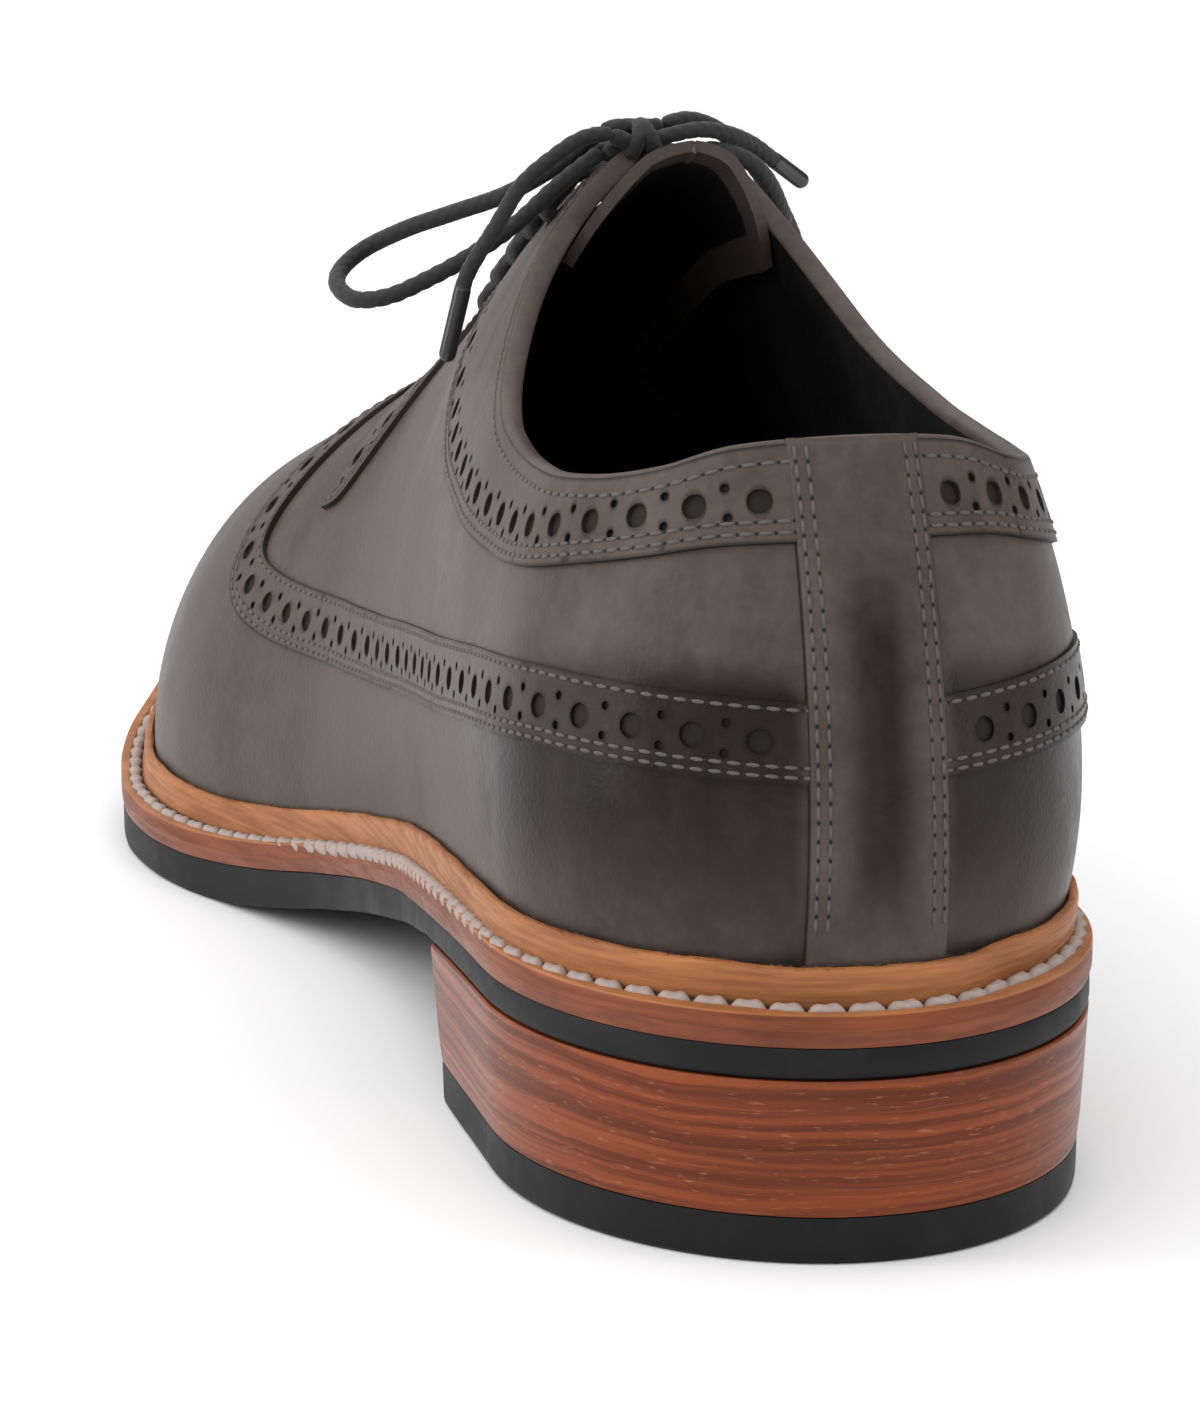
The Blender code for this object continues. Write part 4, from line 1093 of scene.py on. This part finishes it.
def sole_loop(inset, height, end=None, count=161):
    """The sole's edge set in, lateral side then medial; a heel's loop ends at the straight breast."""
    q = np.linspace(0, 1, count)
    sides = []
    for side in (-1, 1):
        y = spread(q, 0, LENGTH) if end is None else end * (1 - np.cos(q * math.pi / 2))
        y0, y1 = np.maximum(y - 1e-3, 0), np.minimum(y + 1e-3, LENGTH)
        dx, dy = rim(side, y1) - rim(side, y0), y1 - y0
        length = np.hypot(dx, dy)
        px = rim(side, y) - side * dy / length * inset
        py = y + (side * dx / length * inset if end is None else side * dx / length * inset * (1 - q**6))
        px[0], py[0] = 0.0, inset
        if end is None:
            px[-1], py[-1] = soles("axis", LENGTH), LENGTH - inset
        sides.append(np.stack([px, py, height(py)], -1))
    if end is None:
        return np.concatenate([sides[0], sides[1][-2:0:-1]])
    breast = np.linspace(sides[0][-1], sides[1][-1], 25)[1:-1]
    breast[:, 1] -= 3.2 * (1 - np.linspace(-1, 1, 25)[1:-1] ** 2)
    breast[:, 2] = height(breast[:, 1])
    return np.concatenate([sides[0], breast, sides[1][:0:-1]])


def under(y):
    return soles("under", y)


def floor_level(y):
    return 0 * y


def edge_loops(*rows):
    """Loops of the sole's edge from rows of inset, base, height above it and, for the heel, the breast's place."""
    return [sole_loop(inset, lambda y: base(y) + more, *end) for inset, base, more, *end in rows]


stained_edge = stained_leather("stained_edge", EDGE_STAIN, (0.105, 0.024, 0.009), 0.42, 0.1, (90, 90, 700))
midsole = ring_solid("midsole_edge", edge_loops(
    (1.0, seat, 0), (0.03, seat, 0), (0.03, seat, -1.0), (0.3, seat, -2.0), (1.0, seat, -2.0)
), stained_edge)
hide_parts("midsole")


def rubber(name, colour, rough):
    made, tree, place = bare_material(name)
    dust = noise(tree, place, 90.0, 6.0, 0.7)
    dusty = blend(tree, span(tree, dust, 0.45, 0.75), colour, tuple(c * 2.2 for c in colour))
    rough = span(tree, dust, 0.3, 0.7, rough - 0.06, rough + 0.1)
    finish(tree, dusty, rough, noise(tree, place, 1400.0, 2.0), (0.3, 0.00004), 0.2)
    return made


black_rubber = rubber("black_rubber", (0.0055, 0.0055, 0.006), 0.5)
outsole = ring_solid("rubber_sole", edge_loops(
    (1.0, seat, -2.15), (0.45, seat, -2.15), (0.32, seat, -2.4),
    (0.3, under, 1.1), (0.5, under, 0.4), (1.0, under, 0), (6.0, under, 0),
), black_rubber)
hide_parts("outsole")


def stack_leather():
    """Polished lifts: wavy layers of two browns, short pale flecks, and a thin dark line at each joint."""
    made, tree, place = bare_material("heel_lifts")
    bend = times(tree, maths(tree, "SUBTRACT", noise(tree, place, 30.0, 3.0), 0.5), 0.0035)
    xyz = node(tree, "ShaderNodeSeparateXYZ", {"Vector": place})
    z = maths(tree, "ADD", xyz.outputs["Z"], bend)
    bent = node(tree, "ShaderNodeCombineXYZ", {"X": xyz.outputs["X"], "Y": xyz.outputs["Y"], "Z": z}).outputs[0]
    layer = stretched(tree, bent, (11, 11, 800), 5.0, 0.6)
    fleck = stretched(tree, bent, (420, 420, 3000), 2.0)
    joint = maths(tree, "ABSOLUTE", maths(tree, "SUBTRACT", maths(tree, "FRACT", times(tree, z, 210.0)), 0.5))
    colour = blend(tree, span(tree, layer, 0.36, 0.66), (0.105, 0.0200, 0.0052), (0.240, 0.0520, 0.0125))
    colour = blend(tree, span(tree, fleck, 0.6, 0.76, 0.0, 0.6), colour, (0.34, 0.13, 0.055))
    colour = blend(tree, span(tree, joint, 0.47, 0.5, 0.0, 0.55), colour, (0.05, 0.014, 0.008))
    finish(tree, colour, span(tree, layer, 0.3, 0.7, 0.42, 0.3), layer, (0.35, 0.0001), 0.12, (0.2, 0.14))
    return made


LIFT = 5.8
stack = ring_solid("stacked_heel", edge_loops(
    (0.6, under, -0.15, 80.6), (0.36, under, -0.4, 80.8), (0.75, floor_level, 15.5, 80.2),
    (1.15, floor_level, 9.0, 79.5), (1.5, floor_level, LIFT + 0.15, 79.0), (2.0, floor_level, LIFT + 0.15, 78.6),
), stack_leather())
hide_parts("heel_stack")
lift = ring_solid("rubber_top_lift", edge_loops(
    (2.0, floor_level, LIFT, 78.6), (1.5, floor_level, LIFT, 79.0), (1.62, floor_level, 1.2, 78.8),
    (1.8, floor_level, 0.45, 78.6), (2.4, floor_level, 0, 78.0), (8.0, floor_level, 0, 73.0),
), black_rubber)
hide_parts("top_lift")

# Insole: thin black calf glued over the insole. The solid's own shape is right and stays.
insole = bpy.data.objects["insole"]
insole.data.materials.clear()
insole.data.materials.append(black_lining)

# Tongue. Grey calf lined with black, its top edge bound with a turned border; the border's row of stitches is not
# modelled.
# It lies under the facings and follows the instep.


def tongue_point(up, across, depth):
    """up from 0 at the vamp to 1 at the top, across from -1 to 1, depth in mm under the last."""
    y = 198 - 94 * up + 9 * up**3 * across**2
    half = 15 + 9 * up
    side = -1 if across < 0 else 1
    q = station(y)
    v = np.linspace(0.3, 1, 141)
    line = last(side, q, v)
    left = np.concatenate([np.cumsum(np.linalg.norm(np.diff(line, axis=0), axis=1)[::-1])[::-1], [0]])
    at = np.interp(-abs(across) * half, -left, v)
    dent = 1.0 * (1 - min((across * half / 7.5) ** 2, 1)) + 0.4 * max(8 - abs(across * half), 0) ** 2 / 16
    flare = 1.8 * min(max((up - 0.85) / 0.15, 0), 1) ** 2
    return last(side, q, at) - out_of(side, q, at) * (depth + dent * up - flare * (1 - across**2))


ups, acrosses = np.linspace(0, 1, 37), np.linspace(-1, 1, 31)
points = np.array([[[tongue_point(u, a, d) for a in acrosses] for u in ups] for d in (2.4, 4.0)]).reshape(-1, 3)
wide = len(acrosses)
total = len(ups) * wide
faces = []
for i in range(len(ups) - 1):
    for j in range(wide - 1):
        a = i * wide + j
        b = total + a
        faces += [(a, a + 1, a + wide + 1, a + wide), (b, b + wide, b + wide + 1, b + 1)]
border = [j for j in range(wide)] + [i * wide + wide - 1 for i in range(1, len(ups))]
border += [(len(ups) - 1) * wide + j for j in range(wide - 2, -1, -1)] + [i * wide for i in range(len(ups) - 2, 0, -1)]
faces += [(a, b, total + b, total + a) for a, b in zip(border, border[1:] + border[:1])]
tongue_calf = recolour(upper_leather("tongue_calf", 0.0), "side", (0.012, 0.011, 0.011), 0.4, 0.6)
tongue = piece_of("tongue_calf", points, faces, tongue_calf)
rims = np.minimum((1 - ups[:, None]) * 94, (1 - np.abs(acrosses[None])) * 20).ravel()
mark_points(tongue.data, "side", np.concatenate([np.zeros(total), (rims > 4.4) * 1.0]))
face_out(tongue)
bpy.ops.object.shade_smooth_by_angle(angle=math.radians(40))
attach(tongue, "root")
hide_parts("tongue")

# Laces. Round braided cotton cord, waxed black, laced crosswise through five pairs of punched eyelets and tied in
# a bow; each end is pressed into a hard plastic tip.

LACE = 2.3


def smooth_route(route, step):
    """Points at even steps along a smooth curve through the route, in mm."""
    p = np.array(route, float)
    p = np.concatenate([[2 * p[0] - p[1]], p, [2 * p[-1] - p[-2]]])
    line = []
    for a, b, c, d in zip(p, p[1:], p[2:], p[3:]):
        for t in np.linspace(0, 1, 12, endpoint=False):
            line.append(b + 0.5 * t * ((c - a) + t * (2 * a - 5 * b + 4 * c - d + t * (3 * (b - c) + d - a))))
    line = np.array(line + [p[-2]])
    run = run_of(line)
    return points_at(line, run, np.linspace(0, run[-1], int(math.ceil(run[-1] / step)) + 1))


def braided(name, routes, radius, material, braid=0.075, sides=20, step=0.34):
    """Cords along routes as one mesh, with the plaits of the braid as ridges, rounded off at both ends."""
    points, faces = [], []
    for route in routes:
        line = smooth_route(route, step)
        run = np.gradient(line, axis=0)
        run /= np.linalg.norm(run, axis=1, keepdims=True)
        across = np.cross(run[0], [0.3, 0.2, 1.0])
        start = len(points)
        for i, (p, t) in enumerate(zip(line, run)):
            across = across - t * np.dot(across, t)
            across /= np.linalg.norm(across)
            other = np.cross(t, across)
            s = i * step
            near = min(i, len(line) - 1 - i) * step
            end = math.sqrt(1 - (1 - min(near / radius, 1)) ** 2) if near < radius else 1.0
            for k in range(sides):
                a = 2 * math.pi * k / sides
                plait = max(math.cos(4 * a + s * 3.1), math.cos(4 * a - s * 3.1))
                r = radius * max(end, 0.12) * (1 + braid * (plait - 0.55))
                points.append(p + r * (across * math.cos(a) + other * math.sin(a)))
            if i:
                b = start + (i - 1) * sides
                faces += bridge(b, b + sides, sides)
        faces += [tuple(range(start, start + sides)), tuple(range(len(points) - sides, len(points)))]
    made = piece_of(name, points, faces, material)
    made.data.shade_smooth()
    face_out(made)
    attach(made, "root")
    return made


waxed_cotton = plain_stuff("waxed_cotton", (0.008, 0.0075, 0.0075), 0.72)
waxed_cotton.node_tree.nodes["Principled BSDF"].inputs["Sheen Weight"].default_value = 0.1
tip_plastic = plain_stuff("tip_plastic", (0.018, 0.018, 0.019), 0.28)


def by_opening(side, y, beyond, out):
    """A point of the facing this far from the opening's edge and off the last, and the normal there."""
    q = station([y])
    v = climb_near(side, q, along(OPENING, "gap", y) + beyond)
    return off_last(side, q, v, out)[0], out_of(side, q, v)[0]


def middle(y):
    """A point over the tongue, in the middle of the opening."""
    dent = 2.4 + min(max((198 - y) / 94, 0), 1)
    return off_last(1, station(y), 1.0, 1.85 - dent)


def crossing(side, here, there, depth=0.2):
    """A cord from the eyelet of one row to the eyelet of another on the other side."""
    lean = 0.0 if here == there else 1.3
    a, n = by_opening(side, here - lean * 0.4, EYELET_IN, depth)
    b, m = by_opening(-side, there + lean * 0.4, EYELET_IN, depth + 0.3)
    near = [by_opening(side, here - lean, beyond, 2.85)[0] for beyond in (4.6, 1.2, -0.8)]
    far = [by_opening(-side, there + lean, beyond, 2.85)[0] for beyond in (-0.8, 1.2, 4.6)]
    return [a, a + n * 1.9, *near, middle((here + there) / 2), *far, b + m * 1.6, b]


TOP_ROW, LOW_ROW = EYELET_ROWS[0], EYELET_ROWS[-1]
routes = [crossing(-1, LOW_ROW, LOW_ROW), crossing(-1, TOP_ROW, TOP_ROW, 0.8)]
for lower, upper_row in zip(EYELET_ROWS[1:], EYELET_ROWS):
    routes += [crossing(side, lower, upper_row, 0.45 + 0.1 * side) for side in (-1, 1)]
bars = braided("lace_crossings", routes, LACE / 2, waxed_cotton)
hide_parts("lace_bars")

# Knot: the cord's two turns round itself, with the crossed ends passing through
KNOT = np.array([1.2, 116.0, 120.0])


def turn_of(wide, tall, lean, at):
    a = np.linspace(0, 2 * math.pi, 19)
    x = at + lean * np.sin(a)
    return [KNOT + (px, wide * math.cos(b), tall * math.sin(b)) for px, b in zip(x, a)]


knot = braided("bow_knot", [
    turn_of(1.95, 1.8, 0.8, -0.7), turn_of(2.0, 1.85, -0.9, 1.2),
    [(-3.6, 118.2, 121.0), (-1.0, 117.6, 121.6), (2.0, 117.3, 121.5), (5.0, 117.8, 121.6)],
    [(-3.2, 114.3, 121.1), (-0.4, 114.9, 119.8), (2.6, 115.0, 119.9), (5.2, 114.7, 120.6)],
    [(-3.8, 116.3, 118.7), (0.0, 116.6, 118.2), (3.0, 116.2, 118.0), (6.1, 115.8, 118.3)],
], LACE / 2, waxed_cotton)
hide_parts("lace_knot")

LOOPS = {
    "lateral": (
        (-3.4, 118.4, 121.2), (-8.2, 121.0, 116.7), (-14.6, 125.0, 112.3), (-21.0, 129.0, 109.5),
        (-26.4, 132.5, 107.2), (-31.6, 135.5, 104.3), (-35.4, 134.0, 101.8), (-37.0, 129.5, 100.1),
        (-35.6, 125.0, 98.8), (-31.6, 122.5, 99.4), (-26.7, 121.2, 101.6), (-20.9, 120.0, 104.8),
        (-15.1, 118.5, 109.0), (-9.9, 117.2, 113.9), (-3.9, 116.2, 118.6),
    ),
    "medial": (
        (5.0, 117.9, 121.7), (9.5, 120.4, 122.0), (15.0, 124.5, 119.8), (21.0, 131.0, 115.0),
        (27.0, 138.5, 108.8), (31.5, 145.0, 102.8), (32.8, 146.8, 99.6), (32.8, 145.0, 96.3),
        (31.4, 141.2, 95.0), (29.3, 137.2, 96.6), (26.2, 130.0, 103.4), (22.8, 123.6, 110.4),
        (18.2, 118.3, 115.6), (12.5, 116.4, 118.2), (6.3, 115.7, 118.2),
    ),
}
ENDS = {
    "lateral": (
        (-2.9, 114.2, 121.2), (-7.0, 113.9, 120.7), (-10.8, 113.6, 118.6), (-15.6, 113.0, 114.9),
        (-19.6, 112.0, 109.3), (-22.5, 111.5, 105.2), (-23.9, 111.4, 102.4),
    ),
    "medial": (
        (2.4, 114.9, 119.9), (5.2, 114.6, 120.7), (9.5, 115.4, 121.2), (14.0, 117.6, 120.3), (18.5, 121.5, 118.4),
        (21.9, 124.4, 116.2),
    ),
}
TIPS = {
    "lateral": ((-23.9, 111.4, 102.4), (-25.2, 111.0, 97.6), (-26.7, 110.5, 92.1)),
    "medial": ((21.9, 124.4, 116.2), (25.1, 127.2, 114.1), (28.6, 130.0, 111.8)),
}


def in_frame(route):
    line = (smooth_route(route, 0.7) + TO_FRAME) * MM
    return line.tolist(), float(np.linalg.norm(np.diff(line, axis=0), axis=1).sum())


for word in ("lateral", "medial"):
    loop = braided(f"bow_loop_{word}", [LOOPS[word]], LACE / 2, waxed_cotton)
    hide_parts(f"lace_loop_{word}")
    line, length = in_frame(LOOPS[word])
    whole = ENDS[word] + TIPS[word][1:]
    inside_tip = tuple(np.array(whole[-1]) * 0.9 + np.array(whole[-2]) * 0.1)
    end = braided(f"bow_end_{word}", [whole[:-1] + (inside_tip,)], LACE / 2 * 0.93, waxed_cotton)
    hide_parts(f"lace_end_{word}")
    tip = braided(f"hard_tip_{word}", [TIPS[word]], LACE / 2, tip_plastic, braid=0.0, sides=16)
    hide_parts(f"lace_tip_{word}")
    line, length = in_frame(whole)
